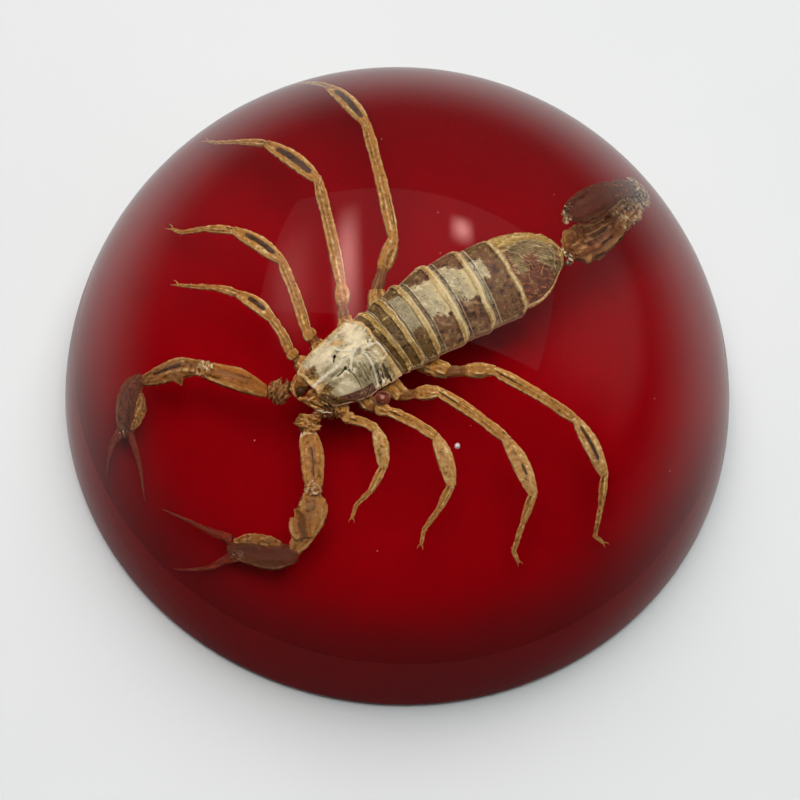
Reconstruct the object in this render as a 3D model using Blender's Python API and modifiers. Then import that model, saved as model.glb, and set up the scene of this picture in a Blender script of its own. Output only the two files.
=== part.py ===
"""A domed resin paperweight: a clear cap bonded to a thick foot layer of red resin.

Both pieces are turned on +Z. Their outer surface is one ball cut flat a little above its middle, so
the clear cap carries on where the red layer ends. The underside lies in the plane z = 0.
"""

import math

import bpy

# Driving dimensions, in metres.
FOOT_RADIUS = 0.040
TOTAL_HEIGHT = 0.034
RED_LAYER_THICKNESS = 0.0090
JOINT_GAP = 0.0003
FOOT_EDGE_ROUND = 0.0006

# How finely the turned surfaces are faceted.
TURNS = 96
CAP_ARC_STEPS = 20
RED_ARC_STEPS = 6
EDGE_ARC_STEPS = 3
AXIS_MERGE = 0.00001

# The ball that the outside is cut from.
BALL_RADIUS = (FOOT_RADIUS**2 + TOTAL_HEIGHT**2) / (2 * TOTAL_HEIGHT)
BALL_CENTRE_HEIGHT = TOTAL_HEIGHT - BALL_RADIUS

CLEAR_RESIN = {"colour": (0.93, 0.92, 0.90), "roughness": 0.04, "transmission": 1.0, "ior": 1.55}
RED_RESIN = {"colour": (0.42, 0.003, 0.010), "roughness": 0.12, "transmission": 0.0, "ior": 1.55}


def clear_scene():
    for existing in list(bpy.data.objects):
        bpy.data.objects.remove(existing)


def new_collection(name):
    collection = bpy.data.collections.new(name)
    bpy.context.scene.collection.children.link(collection)
    return collection


def resin_material(name, look):
    material = bpy.data.materials.new(name)
    material.use_nodes = True
    shader = material.node_tree.nodes["Principled BSDF"]
    shader.inputs["Base Color"].default_value = (*look["colour"], 1.0)
    shader.inputs["Roughness"].default_value = look["roughness"]
    shader.inputs["Metallic"].default_value = 0.0
    shader.inputs["Transmission Weight"].default_value = look["transmission"]
    shader.inputs["IOR"].default_value = look["ior"]
    return material


def ball_angle_at(height):
    """The angle above the ball's equator at which its surface reaches this height."""
    return math.asin((height - BALL_CENTRE_HEIGHT) / BALL_RADIUS)


def arc(centre_x, centre_z, radius, first_angle, last_angle, steps):
    """Points in the XZ plane along an arc, both ends included."""
    points = []
    for step in range(steps + 1):
        angle = first_angle + (last_angle - first_angle) * step / steps
        points.append((centre_x + radius * math.cos(angle), centre_z + radius * math.sin(angle)))
    return points


def ball_arc(top_height, bottom_height, steps):
    return arc(0, BALL_CENTRE_HEIGHT, BALL_RADIUS, ball_angle_at(top_height), ball_angle_at(bottom_height), steps)


def cap_profile():
    """From the crown down the ball, then in along the flat joint face."""
    joint_height = RED_LAYER_THICKNESS + JOINT_GAP
    outside = ball_arc(TOTAL_HEIGHT, joint_height, CAP_ARC_STEPS)
    crown = (0.0, TOTAL_HEIGHT)
    return [crown, *outside[1:], (0.0, joint_height)]


def red_layer_profile():
    """From the joint face out, down the ball, round the foot's edge and in along the underside."""
    edge_x = math.sqrt((BALL_RADIUS - FOOT_EDGE_ROUND) ** 2 - (FOOT_EDGE_ROUND - BALL_CENTRE_HEIGHT) ** 2)
    edge_angle = math.atan2(FOOT_EDGE_ROUND - BALL_CENTRE_HEIGHT, edge_x)
    edge_top = FOOT_EDGE_ROUND * (1 + math.sin(edge_angle))
    outside = ball_arc(RED_LAYER_THICKNESS, edge_top, RED_ARC_STEPS)
    edge = arc(edge_x, FOOT_EDGE_ROUND, FOOT_EDGE_ROUND, edge_angle, -math.pi / 2, EDGE_ARC_STEPS)
    return [(0.0, RED_LAYER_THICKNESS), *outside, *edge[1:], (0.0, 0.0)]


def turned_solid(name, profile, material, collection):
    """Turns a profile, given from its top down its outer side, into a closed solid about +Z."""
    mesh = bpy.data.meshes.new(name)
    corners = [(x, 0.0, z) for x, z in profile]
    sides = [(index, index + 1) for index in range(len(profile) - 1)]
    mesh.from_pydata(corners, sides, [])
    mesh.materials.append(material)
    solid = bpy.data.objects.new(name, mesh)
    collection.objects.link(solid)

    screw = solid.modifiers.new("Turn", "SCREW")
    screw.axis = "Z"
    screw.angle = 2 * math.pi
    screw.steps = TURNS
    screw.render_steps = TURNS
    screw.use_merge_vertices = True
    screw.merge_threshold = AXIS_MERGE
    screw.use_smooth_shade = True
    return solid


def main():
    clear_scene()
    paperweight = new_collection("domed_resin_paperweight")
    clear_resin = resin_material("clear_resin", CLEAR_RESIN)
    red_resin = resin_material("red_resin", RED_RESIN)
    turned_solid("clear_resin_dome", cap_profile(), clear_resin, paperweight)
    turned_solid("red_resin_base", red_layer_profile(), red_resin, paperweight)


main()
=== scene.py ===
"""A domed paperweight: a dried golden scorpion sealed in clear resin over a red resin foot layer.

The animal is modelled in millimetres in its own frame: s runs from the front of its head plate
towards the tail, t towards its right side, and z up from the table. to_world() carries it into the
paperweight's frame, in metres.
"""

import math
import random

import bmesh
import bpy
import numpy as np
from bpy.props import FloatProperty, FloatVectorProperty, IntProperty, PointerProperty
from mathutils import Matrix, Vector, noise


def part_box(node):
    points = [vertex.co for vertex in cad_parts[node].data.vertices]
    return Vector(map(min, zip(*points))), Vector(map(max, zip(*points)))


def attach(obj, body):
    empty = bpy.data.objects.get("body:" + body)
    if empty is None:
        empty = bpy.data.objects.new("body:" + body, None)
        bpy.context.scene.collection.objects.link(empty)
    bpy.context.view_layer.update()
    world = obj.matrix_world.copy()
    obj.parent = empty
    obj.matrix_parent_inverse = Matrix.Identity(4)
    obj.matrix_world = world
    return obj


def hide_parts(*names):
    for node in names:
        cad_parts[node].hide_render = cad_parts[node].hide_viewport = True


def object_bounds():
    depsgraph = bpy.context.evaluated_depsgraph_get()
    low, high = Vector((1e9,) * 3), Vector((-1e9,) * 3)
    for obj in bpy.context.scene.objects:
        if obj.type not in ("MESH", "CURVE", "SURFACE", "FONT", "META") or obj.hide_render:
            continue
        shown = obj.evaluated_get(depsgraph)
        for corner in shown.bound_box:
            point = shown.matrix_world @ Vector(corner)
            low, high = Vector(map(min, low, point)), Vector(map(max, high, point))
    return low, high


bl_info = {
    "name": "Scorpion Paperweight",
    "version": (1, 0, 0),
    "blender": (4, 5, 0),
    "location": "3D View > Sidebar > Paperweight",
    "description": "Builds a dried scorpion sealed in a clear resin dome on a red resin foot",
    "category": "Object",
}

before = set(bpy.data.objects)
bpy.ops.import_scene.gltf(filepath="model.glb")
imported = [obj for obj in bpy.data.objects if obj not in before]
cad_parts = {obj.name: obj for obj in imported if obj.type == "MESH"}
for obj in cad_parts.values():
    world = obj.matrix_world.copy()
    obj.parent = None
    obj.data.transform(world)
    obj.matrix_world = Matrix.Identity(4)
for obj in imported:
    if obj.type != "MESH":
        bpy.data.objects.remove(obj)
CAD_LOW, CAD_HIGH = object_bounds()
FOOT_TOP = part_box("red_resin_base")[1].z

MM = 0.001
PLACE_MAP = "shell_place"

# The ball that the outside is cut from.
FOOT_RADIUS = 0.03999
FOOT_EDGE_ROUND = 0.0006
DOME_HEIGHT = CAD_HIGH.z
BALL_RADIUS = (FOOT_RADIUS**2 + DOME_HEIGHT**2) / (2 * DOME_HEIGHT)
BALL_CENTRE_HEIGHT = DOME_HEIGHT - BALL_RADIUS
RESIN_IOR = 1.55
RESIN_OVER_ANIMAL = 0.0004
BOND_DEPTH = 0.0001
BOND_INSET = 0.00005
CAP_ARC_STEPS = 96
FOOT_ARC_STEPS = 24
FOOT_EDGE_STEPS = 9
AXIS_MERGE = 0.000005

# How far apart the noises for the three directions are taken, so that they differ.
CRUMPLE_SHIFTS = np.array([(9.3, -1.5, -8.0), (0.0, 0.0, 0.0), (6.3, 0.2, -2.7)])


# ---------------------------------------------------------------- settings


class ResinSettings(bpy.types.PropertyGroup):
    turns: IntProperty(
        name="Turns", description="Facets around the dome", default=256, min=48, max=512
    )
    clear_tint: FloatVectorProperty(
        name="Clear tint", description="Colour that a thick piece of the clear resin takes on",
        default=(0.93, 0.90, 0.86), subtype="COLOR", size=3, min=0.0, max=1.0,
    )
    clear_density: FloatProperty(
        name="Clear density", description="How fast the clear resin takes on its tint",
        default=3.0, min=0.0, max=100.0,
    )
    red: FloatVectorProperty(
        name="Red", description="Colour of the red resin foot layer",
        default=(0.335, 0.0010, 0.0044), subtype="COLOR", size=3, min=0.0, max=1.0,
    )
    polish: FloatProperty(
        name="Polish", description="Roughness of the polished outside", default=0.012, min=0.0, max=1.0
    )


class ScorpionSettings(bpy.types.PropertyGroup):
    front: FloatVectorProperty(
        name="Head place", description="Where the front of the head plate lies, seen from above",
        default=(-0.0093, -0.0088, 0.0), subtype="TRANSLATION", unit="LENGTH", size=3,
    )
    heading: FloatProperty(
        name="Heading", description="Direction from head to tail, turned from +X towards +Y",
        default=math.radians(35), subtype="ANGLE",
    )
    leg_stoutness: FloatProperty(
        name="Leg stoutness", description="Scales the legs' width", default=1.0, min=0.3, max=2.0
    )
    ochre: FloatVectorProperty(
        name="Ochre", description="Main colour of the legs and claws",
        default=(0.60, 0.265, 0.052), subtype="COLOR", size=3, min=0.0, max=1.0,
    )
    # Cream also paints highlights on limb crests and on the relief's crests.
    cream: FloatVectorProperty(
        name="Cream", description="Colour of the thick bands, rims and crests",
        default=(0.90, 0.68, 0.30), subtype="COLOR", size=3, min=0.0, max=1.0,
    )
    silver: FloatVectorProperty(
        name="Silver", description="Colour where the dried shell has come loose and turned silvery",
        default=(0.58, 0.49, 0.275), subtype="COLOR", size=3, min=0.0, max=1.0,
    )
    # Brown also paints the shade in limb dents and along limb sides.
    brown: FloatVectorProperty(
        name="Brown", description="Colour of grooves, joints and crumbs under the shell",
        default=(0.060, 0.020, 0.006), subtype="COLOR", size=3, min=0.0, max=1.0,
    )


class StageSettings(bpy.types.PropertyGroup):
    floor_colour: FloatVectorProperty(
        name="Floor colour", description="Colour of the pale floor",
        default=(0.515, 0.545, 0.545), subtype="COLOR", size=3, min=0.0, max=1.0,
    )
    key_power: FloatProperty(
        name="Key light", description="Power of the large soft light on the far side",
        default=24.0, min=0.0, subtype="POWER", unit="POWER",
    )
    overhead_power: FloatProperty(
        name="Overhead light", description="Power of the square soft light overhead",
        default=0.42, min=0.0, subtype="POWER", unit="POWER",
    )
    strip_power: FloatProperty(
        name="Strip light", description="Power of the narrow soft light on the left",
        default=2.6, min=0.0, subtype="POWER", unit="POWER",
    )
    room_brightness: FloatProperty(
        name="Room brightness", description="Strength of the plain grey room", default=1.0, min=0.0
    )
    view_distance: FloatProperty(
        name="View distance", description="From the paperweight's foot to the camera",
        default=0.16908, min=0.05, subtype="DISTANCE", unit="LENGTH",
    )
    view_elevation: FloatProperty(
        name="View elevation", description="Height of the camera above the floor, as an angle",
        default=math.radians(64.41), subtype="ANGLE",
    )
    view_field: FloatProperty(
        name="Field of view", description="Width of the camera's view", default=math.radians(32.0),
        subtype="ANGLE",
    )


# ---------------------------------------------------------------- curves and skins


def spline(knots, places):
    """Values at places, from 0 to 1, along a smooth curve through evenly spaced knots."""
    knots = np.asarray(knots, float)
    flat = knots.ndim == 1
    if flat:
        knots = knots[:, None]
    ends = (2 * knots[:1] - knots[1:2], 2 * knots[-1:] - knots[-2:-1])
    padded = np.concatenate([ends[0], knots, ends[1]])
    reach = np.clip(np.asarray(places, float), 0, 1) * (len(knots) - 1)
    index = np.minimum(reach.astype(int), len(knots) - 2)
    part = (reach - index)[..., None]
    a, b, c, d = (padded[index + step] for step in range(4))
    cubic = 2 * a - 5 * b + 4 * c - d + part * (3 * (b - c) + d - a)
    value = b + 0.5 * part * (c - a + part * cubic)
    return value[..., 0] if flat else value


def patch(cage, rows, columns):
    """A smooth sheet of rows x columns points over a cage of ribs, each a row of points."""
    cage = np.asarray(cage, float)
    lengthwise = np.stack(
        [spline(cage[:, station], np.linspace(0, 1, rows)) for station in range(cage.shape[1])]
    )
    crosswise = [spline(lengthwise[:, row], np.linspace(0, 1, columns)) for row in range(rows)]
    return np.stack(crosswise)


def sheet_places(rows, columns):
    """How far each point of a sheet lies across it, from -1 to 1, and along it, from 0 to 1."""
    along, across = np.meshgrid(np.linspace(0, 1, rows), np.linspace(-1, 1, columns), indexing="ij")
    return across, along


def ease(value, low, high):
    """0 below low, 1 above high, smooth between; low may lie above high."""
    part = np.clip((value - low) / (high - low), 0, 1)
    return part * part * (3 - 2 * part)


def unit(vectors):
    return vectors / np.maximum(np.linalg.norm(vectors, axis=-1, keepdims=True), 1e-9)


def from_line(points, line):
    """How far each point lies from a line of points, seen from above."""
    flat = points[..., :2]
    line = np.asarray(line, float)[:, :2]
    nearest = np.full(flat.shape[:-1], np.inf)
    for start, end in zip(line[:-1], line[1:]):
        stretch = end - start
        part = np.clip(((flat - start) @ stretch) / (stretch @ stretch), 0, 1)
        gap = flat - start - part[..., None] * stretch
        nearest = np.minimum(nearest, np.linalg.norm(gap, axis=-1))
    return nearest


def on_line(points, line, width):
    """1 on a line of points seen from above, falling off within its width."""
    return np.exp(-((from_line(points, line) / width) ** 2))


def in_blot(points, centre, length, width, turn=0.0):
    """1 in the middle of an oval seen from above, 0.5 on its outline."""
    apart = points[..., :2] - np.asarray(centre, float)[:2]
    turned = math.radians(turn)
    x = apart[..., 0] * math.cos(turned) + apart[..., 1] * math.sin(turned)
    y = apart[..., 1] * math.cos(turned) - apart[..., 0] * math.sin(turned)
    return np.exp(-math.log(2) * ((x / length) ** 2 + (y / width) ** 2))


def blotted(points, blots):
    """The strongest of several blots at each point."""
    marked = np.zeros(points.shape[:-1])
    for *oval, strength in blots:
        marked = np.maximum(marked, strength * in_blot(points, *oval))
    return marked


def ripple(points, size, seed=0.0):
    """Smooth noise from -1 to 1 at each point, with lumps of about this size in millimetres."""
    flat = (points.reshape(-1, 3) / size + seed).tolist()
    return np.array([noise.noise(spot) for spot in flat]).reshape(points.shape[:-1])


def crumple(points, size, depth, seed=0.0):
    """Moves each point by smooth noise, as dried skin crumples.

    The noise is taken three times, because Blender's noise_vector differs from run to run.
    """
    pushes = [ripple(points, size, seed + shift) for shift in CRUMPLE_SHIFTS]
    return points + depth * np.stack(pushes, -1)


def wavered(points, size, depth):
    """Points moved along and across by smooth noise, so that marks laid on them waver."""
    moves = [ripple(points, size, 1.0), ripple(points, size, 2.0), np.zeros(points.shape[:-1])]
    return points + depth * np.stack(moves, -1)


def standing(height, reach, full, ring=False):
    """From -1 in hollows to 1 on crests: how far each point stands above the others round it."""
    wide = np.pad(height, ((reach, reach), (0, 0)), "edge")
    wide = np.pad(wide, ((0, 0), (reach, reach)), "wrap" if ring else "edge")
    share = np.full(2 * reach + 1, 1 / (2 * reach + 1))
    for axis in (0, 1):
        wide = np.apply_along_axis(np.convolve, axis, wide, share, "valid")
    return np.clip((height - wide) / full, -1, 1)


class Skin:
    """Points and faces gathered for one piece, with the marks that its finish reads."""

    def __init__(self):
        self.points = []
        self.faces = []
        self.places = []
        self.marks = []
        self.size = 0

    def add_grid(self, grid, marks=None, ring=False, start=0.0, capped=False):
        """Joins rows of points by quads. ring closes each row, and start is where its map begins."""
        rows, columns = grid.shape[:2]
        spans = columns if ring else columns - 1
        row = np.arange(rows - 1)[:, None]
        column = np.arange(spans)[None, :]
        after = (column + 1) % columns
        corners = [row * columns + column, row * columns + after]
        corners += [(row + 1) * columns + after, (row + 1) * columns + column]
        quads = np.stack(np.broadcast_arrays(*corners), -1).reshape(-1, 4) + self.size
        across = [column / spans, (column + 1) / spans, (column + 1) / spans, column / spans]
        along = [start + 0.998 * (row + step) / (rows - 1) for step in (0, 0, 1, 1)]
        places = [np.stack(np.broadcast_arrays(u, v), -1) for u, v in zip(across, along)]
        self.faces += quads.tolist()
        self.places.append(np.stack(places, -2).reshape(-1, 2))
        if capped:
            for first, at in ((0, start), ((rows - 1) * columns, start + 0.998)):
                self.faces.append(list(range(self.size + first, self.size + first + columns)))
                self.places.append(np.tile([0.5, at], (columns, 1)))
        self.points.append(grid.reshape(-1, 3))
        filled = {name: np.broadcast_to(mark, (rows, columns)) for name, mark in (marks or {}).items()}
        self.marks.append((rows * columns, {name: mark.reshape(-1) for name, mark in filled.items()}))
        self.size += rows * columns

    def mark_values(self, name):
        parts = [marks.get(name, np.zeros(count)) for count, marks in self.marks]
        return np.concatenate(parts).astype(np.float32)


def to_world(points, look):
    """From the animal's frame in millimetres to the paperweight's in metres, kept under the resin."""
    turn = Matrix.Rotation(look.heading, 3, "Z")
    world = points @ np.array(turn.transposed()) * MM + np.array(look.front)
    centre = np.array([0.0, 0.0, BALL_CENTRE_HEIGHT])
    out = world - centre
    reach = np.linalg.norm(out, axis=-1, keepdims=True)
    most = BALL_RADIUS - RESIN_OVER_ANIMAL
    return centre + out * np.minimum(1.0, most / np.maximum(reach, 1e-9))


def add_object(name, mesh):
    piece = bpy.data.objects.new(name, mesh)
    bpy.context.scene.collection.objects.link(piece)
    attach(piece, "root")
    return piece


def new_piece(name, skin, finish, look, thickness=0.0, closed=True):
    """One piece of the animal from its skin. An open sheet gets a thickness in millimetres."""
    mesh = bpy.data.meshes.new(name)
    world = to_world(np.concatenate(skin.points), look)
    mesh.from_pydata(world.tolist(), [], skin.faces)
    layer = mesh.uv_layers.new(name=PLACE_MAP)
    layer.uv.foreach_set("vector", np.concatenate(skin.places).astype(np.float32).ravel())
    names = sorted({mark for _, marks in skin.marks for mark in marks})
    for mark in names:
        attribute = mesh.attributes.new(mark, "FLOAT", "POINT")
        attribute.data.foreach_set("value", skin.mark_values(mark))
    shaped = bmesh.new()
    shaped.from_mesh(mesh)
    if closed:
        bmesh.ops.recalc_face_normals(shaped, faces=shaped.faces)
    elif sum(face.normal.z * face.calc_area() for face in shaped.faces) < 0:
        bmesh.ops.reverse_faces(shaped, faces=shaped.faces)
    shaped.to_mesh(mesh)
    shaped.free()
    mesh.shade_smooth()
    mesh.materials.append(finish)
    piece = add_object(name, mesh)
    if thickness:
        wall = piece.modifiers.new("Shell wall", "SOLIDIFY")
        wall.thickness = thickness * MM
        wall.offset = -1.0
    return piece


# ---------------------------------------------------------------- finishes


class Nodes:
    """A tree's nodes, added one after another. Each method gives back the socket it makes."""

    def __init__(self, tree):
        self.tree = tree

    def node(self, kind, **settings):
        made = self.tree.nodes.new(kind)
        for setting, value in settings.items():
            setattr(made, setting, value)
        return made

    def feed(self, socket, value):
        if isinstance(value, bpy.types.NodeSocket):
            self.tree.links.new(value, socket)
        else:
            socket.default_value = value

    def sums(self, operation, first, second=0.0):
        made = self.node("ShaderNodeMath", operation=operation)
        self.feed(made.inputs[0], first)
        self.feed(made.inputs[1], second)
        return made.outputs[0]

    def add(self, first, second):
        return self.sums("ADD", first, second)

    def times(self, first, second):
        return self.sums("MULTIPLY", first, second)

    def most(self, first, second):
        return self.sums("MAXIMUM", first, second)

    def ease(self, value, low, high, start=0.0, end=1.0):
        """start below low, end above high, smooth between."""
        made = self.node("ShaderNodeMapRange", interpolation_type="SMOOTHSTEP")
        self.feed(made.inputs["Value"], value)
        self.feed(made.inputs["From Min"], low)
        self.feed(made.inputs["From Max"], high)
        self.feed(made.inputs["To Min"], start)
        self.feed(made.inputs["To Max"], end)
        return made.outputs["Result"]

    def split(self, vector):
        """A vector's X, Y and Z."""
        made = self.node("ShaderNodeSeparateXYZ")
        self.feed(made.inputs[0], vector)
        return tuple(made.outputs)


class Finish(Nodes):
    """A piece's material. paint() and stain() build up its colour, one layer over another."""

    def __init__(self, name):
        self.material = bpy.data.materials.new(name)
        self.material.use_nodes = True
        super().__init__(self.material.node_tree)
        self.shader = self.tree.nodes["Principled BSDF"]
        self.output = self.tree.nodes["Material Output"]
        self.colour = None

    def peak(self, value, middle, width):
        """1 where value is middle, 0 a width away from it."""
        apart = self.sums("ABSOLUTE", self.add(value, -middle))
        return self.ease(apart, width, 0.0)

    def mark(self, name):
        return self.node("ShaderNodeAttribute", attribute_name=name).outputs["Fac"]

    def place(self):
        """How far round a limb or across a plate, and how far along it."""
        return self.split(self.node("ShaderNodeUVMap", uv_map=PLACE_MAP).outputs["UV"])[:2]

    def spot(self):
        return self.node("ShaderNodeTexCoord").outputs["Object"]

    def spot_stretched(self, scale):
        made = self.node("ShaderNodeVectorMath", operation="MULTIPLY")
        self.feed(made.inputs[0], self.spot())
        made.inputs[1].default_value = scale
        return made.outputs[0]

    def joined(self, x, y, z=0.0):
        made = self.node("ShaderNodeCombineXYZ")
        for socket, value in zip(made.inputs, (x, y, z)):
            self.feed(socket, value)
        return made.outputs[0]

    def grain(self, size, vector=None, detail=3.0, roughness=0.55, distortion=0.0):
        """Noise with lumps of this size in millimetres, or of 1 / size on a given vector."""
        made = self.node("ShaderNodeTexNoise")
        self.feed(made.inputs["Vector"], self.spot() if vector is None else vector)
        made.inputs["Scale"].default_value = 1 / size if vector is not None else 1 / (size * MM)
        made.inputs["Detail"].default_value = detail
        made.inputs["Roughness"].default_value = roughness
        made.inputs["Distortion"].default_value = distortion
        return made.outputs["Fac"]

    def mix(self, amount, first, second):
        made = self.node("ShaderNodeMix", data_type="RGBA")
        self.feed(made.inputs[0], amount)
        for socket, colour in ((made.inputs[6], first), (made.inputs[7], second)):
            self.feed(socket, colour if isinstance(colour, bpy.types.NodeSocket) else (*colour, 1.0))
        return made.outputs[2]

    def tone_and_relief_shade(self, fine, coarse, relief=0.24):
        """A height of about 0.5 on the level, from two noises and the modelled relief. The noises are random
        tone; once the height is coloured, the relief paints shade in hollows and highlights on crests.
        """
        noises = self.add(self.times(fine, 0.6), self.times(coarse, 0.4))
        return self.add(noises, self.times(self.mark("relief"), relief))

    def ragged(self, name, noise, amount):
        """A mark whose edges a noise frays."""
        return self.add(self.mark(name), self.times(self.add(noise, -0.5), amount))

    def layered(self, height, deep, middle, crest, low=(0.36, 0.48), high=(0.54, 0.68)):
        """deep in a height's hollows, crest on its ridges and middle between. Where the height carries the
        modelled relief, deep is painted shade and crest a painted highlight.
        """
        lower = self.mix(self.ease(height, *low), deep, middle)
        return self.mix(self.ease(height, *high), lower, crest)

    def paint(self, amount, colour):
        """Lays a colour over the colour so far."""
        self.colour = self.mix(amount, self.colour, colour)

    def stain(self, mark, noise, fray, low, high, colour, most=1.0):
        """Paints where a mark, frayed by a noise, rises from low to high."""
        self.paint(self.ease(self.ragged(mark, noise, fray), low, high, 0.0, most), colour)

    def bumps(self, height, depth, strength=1.0):
        """Bends the surface by a height from 0 to 1 that stands this many millimetres proud."""
        made = self.node("ShaderNodeBump")
        made.inputs["Strength"].default_value = strength
        made.inputs["Distance"].default_value = depth * MM
        self.feed(made.inputs["Height"], height)
        self.feed(self.shader.inputs["Normal"], made.outputs["Normal"])

    def set(self, **values):
        """Sets the shader's own sockets by their names, with _ for a space."""
        for name, value in values.items():
            self.feed(self.shader.inputs[name.replace("_", " ")], value)


def shaded(colour, factor):
    return tuple(min(1.0, part * factor) for part in colour)


def between(first, second, part):
    return tuple(a + (b - a) * part for a, b in zip(first, second))


def clear_resin_finish(resin):
    """Polished clear resin: faint waves and wipe marks outside, a faint warm tint inside."""
    finish = Finish("clear_resin_polished")
    wipes = finish.grain(9.0, detail=2.0)
    hairlines = finish.grain(0.5, finish.spot_stretched((900.0, 60.0, 200.0)), detail=1.0)
    smear = finish.ease(wipes, 0.45, 0.75, resin.polish * 0.4, resin.polish * 2.0)
    marks = finish.ease(hairlines, 0.70, 0.78, 0.0, 0.03)
    finish.set(Base_Color=(1.0, 1.0, 1.0, 1.0), Transmission_Weight=1.0, IOR=RESIN_IOR)
    finish.set(Roughness=finish.add(smear, marks))
    finish.bumps(finish.grain(6.0, detail=1.0), 0.02, 0.35)
    volume = finish.node("ShaderNodeVolumeAbsorption")
    volume.inputs["Color"].default_value = (*resin.clear_tint, 1.0)
    volume.inputs["Density"].default_value = resin.clear_density
    finish.tree.links.new(volume.outputs["Volume"], finish.output.inputs["Volume"])
    return finish.material


def red_resin_finish(resin, name, bonded):
    """Red resin, cloudy in places. The outside is painted darker, as shade. The bonded face has no gloss, and
    painted shade darkens it towards its rim on the near side and towards the far side.
    """
    finish = Finish(name)
    cloud = finish.grain(14.0, detail=3.0)
    fleck = finish.grain(0.35, detail=2.0)
    # The outside faces are painted darker than the bonded face: painted shade.
    red = shaded(resin.red, 1.0 if bonded else 0.60)
    finish.colour = finish.mix(finish.ease(cloud, 0.3, 0.75), red, shaded(red, 0.88))
    finish.paint(finish.ease(fleck, 0.66, 0.80, 0.0, 0.25), shaded(red, 0.55))
    if bonded:
        # Painted shade on the bonded face: darker towards its rim on the near side, and towards the far side.
        x, y, _ = finish.split(finish.spot())
        out = finish.node("ShaderNodeVectorMath", operation="LENGTH")
        finish.feed(out.inputs[0], finish.joined(x, y))
        near = finish.ease(y, 0.0, -0.018)
        edge = finish.times(finish.ease(out.outputs["Value"], 0.026, 0.036), near)
        far = finish.ease(y, 0.002, 0.022, 0.0, 0.28)
        finish.paint(finish.add(finish.times(edge, 0.42), far), (0.02, 0.001, 0.002))
    finish.set(Base_Color=finish.colour, IOR=RESIN_IOR)
    if bonded:
        finish.set(Roughness=finish.ease(cloud, 0.3, 0.7, 0.55, 0.65), Specular_IOR_Level=0.0)
        finish.bumps(finish.grain(3.0, detail=2.0), 0.02, 0.3)
    else:
        finish.set(Roughness=finish.ease(cloud, 0.3, 0.7, 0.10, 0.20))
        finish.bumps(finish.grain(1.6, detail=3.0), 0.02, 0.4)
    return finish.material


def limb_finish(look, name, warmth=0.0, greyness=0.0):
    """Dried limb shell: golden ochre in random tones, darker along its top and underside. Painted shade
    darkens its dents, the relief's hollows and a thin outline along its sides; painted highlights pale its
    crests.
    """
    finish = Finish(name)
    around, along = finish.place()
    tan = (0.42, 0.21, 0.10)
    ochre = between(between(look.ochre, (0.37, 0.105, 0.013), warmth), tan, greyness)
    cream = between(between(look.cream, (0.70, 0.34, 0.075), warmth), (0.60, 0.40, 0.22), greyness)
    streaks = finish.grain(1.0, finish.joined(finish.times(around, 9.0), finish.times(along, 1.4)), 3.0)
    mottle = finish.grain(0.42, detail=4.0, roughness=0.5, distortion=0.3)
    height = finish.tone_and_relief_shade(mottle, streaks, 0.17)
    side = finish.sums("ABSOLUTE", finish.sums("SINE", finish.times(around, 2 * math.pi)))
    # Colour by height: random tone, with painted shade in the relief's hollows and painted highlight on its
    # crests.
    finish.colour = finish.layered(height, shaded(ochre, 0.42), ochre, cream, (0.33, 0.45), (0.53, 0.66))
    streaked = finish.add(side, finish.times(finish.add(streaks, -0.5), 1.8))
    finish.paint(finish.ease(streaked, 0.50, 0.10, 0.0, 0.5), shaded(ochre, 0.40))
    finish.paint(finish.times(finish.peak(side, 0.84, 0.14), 0.4), cream)
    # Painted shade: a thin dark outline along the limb's sides, as seen from above.
    side_shade = finish.add(side, finish.times(mottle, 0.14))
    finish.paint(finish.ease(side_shade, 0.96, 1.08, 0.0, 0.8), shaded(look.brown, 2.2))
    amber = finish.layered(height, (0.055, 0.014, 0.008), (0.19, 0.052, 0.025), (0.42, 0.18, 0.075),
                           (0.28, 0.40), (0.58, 0.74))
    in_amber = finish.ragged("amber", mottle, 0.4)
    finish.paint(finish.ease(in_amber, 0.3, 0.7, 0.0, 0.92), amber)
    # Crest marks: painted highlight along modelled ridges, and a golden colour where whole parts are marked.
    finish.stain("crest", mottle, 0.8, 0.3, 0.9, cream, 0.85)
    dusk = finish.layered(height, (0.055, 0.026, 0.010), (0.26, 0.12, 0.038), (0.64, 0.41, 0.16))
    finish.stain("dusk", mottle, 0.7, 0.2, 0.8, dusk, 0.9)
    pale = finish.layered(height, shaded(ochre, 0.40), (0.78, 0.60, 0.33), (0.95, 0.86, 0.62))
    finish.stain("pale", mottle, 0.9, 0.3, 0.6, pale)
    # Groove marks: painted shade in dents and in the mouth's hollow, and a darker tone where whole tail parts
    # are marked.
    finish.stain("groove", mottle, 0.8, 0.28, 0.55, shaded(look.brown, 0.8), 0.93)
    thin = finish.mark("thin")
    finish.paint(finish.times(thin, 0.75), (0.36, 0.032, 0.016))
    finish.set(Base_Color=finish.colour, Specular_IOR_Level=0.17)
    finish.set(Roughness=finish.ease(mottle, 0.3, 0.7, 0.24, 0.42))
    see_through = finish.ease(in_amber, 0.3, 0.8, 1.0, 0.68)
    finish.set(Alpha=finish.times(see_through, finish.ease(thin, 0.0, 1.0, 1.0, 0.75)))
    finish.bumps(height, 0.12, 0.9)
    return finish.material


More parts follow.
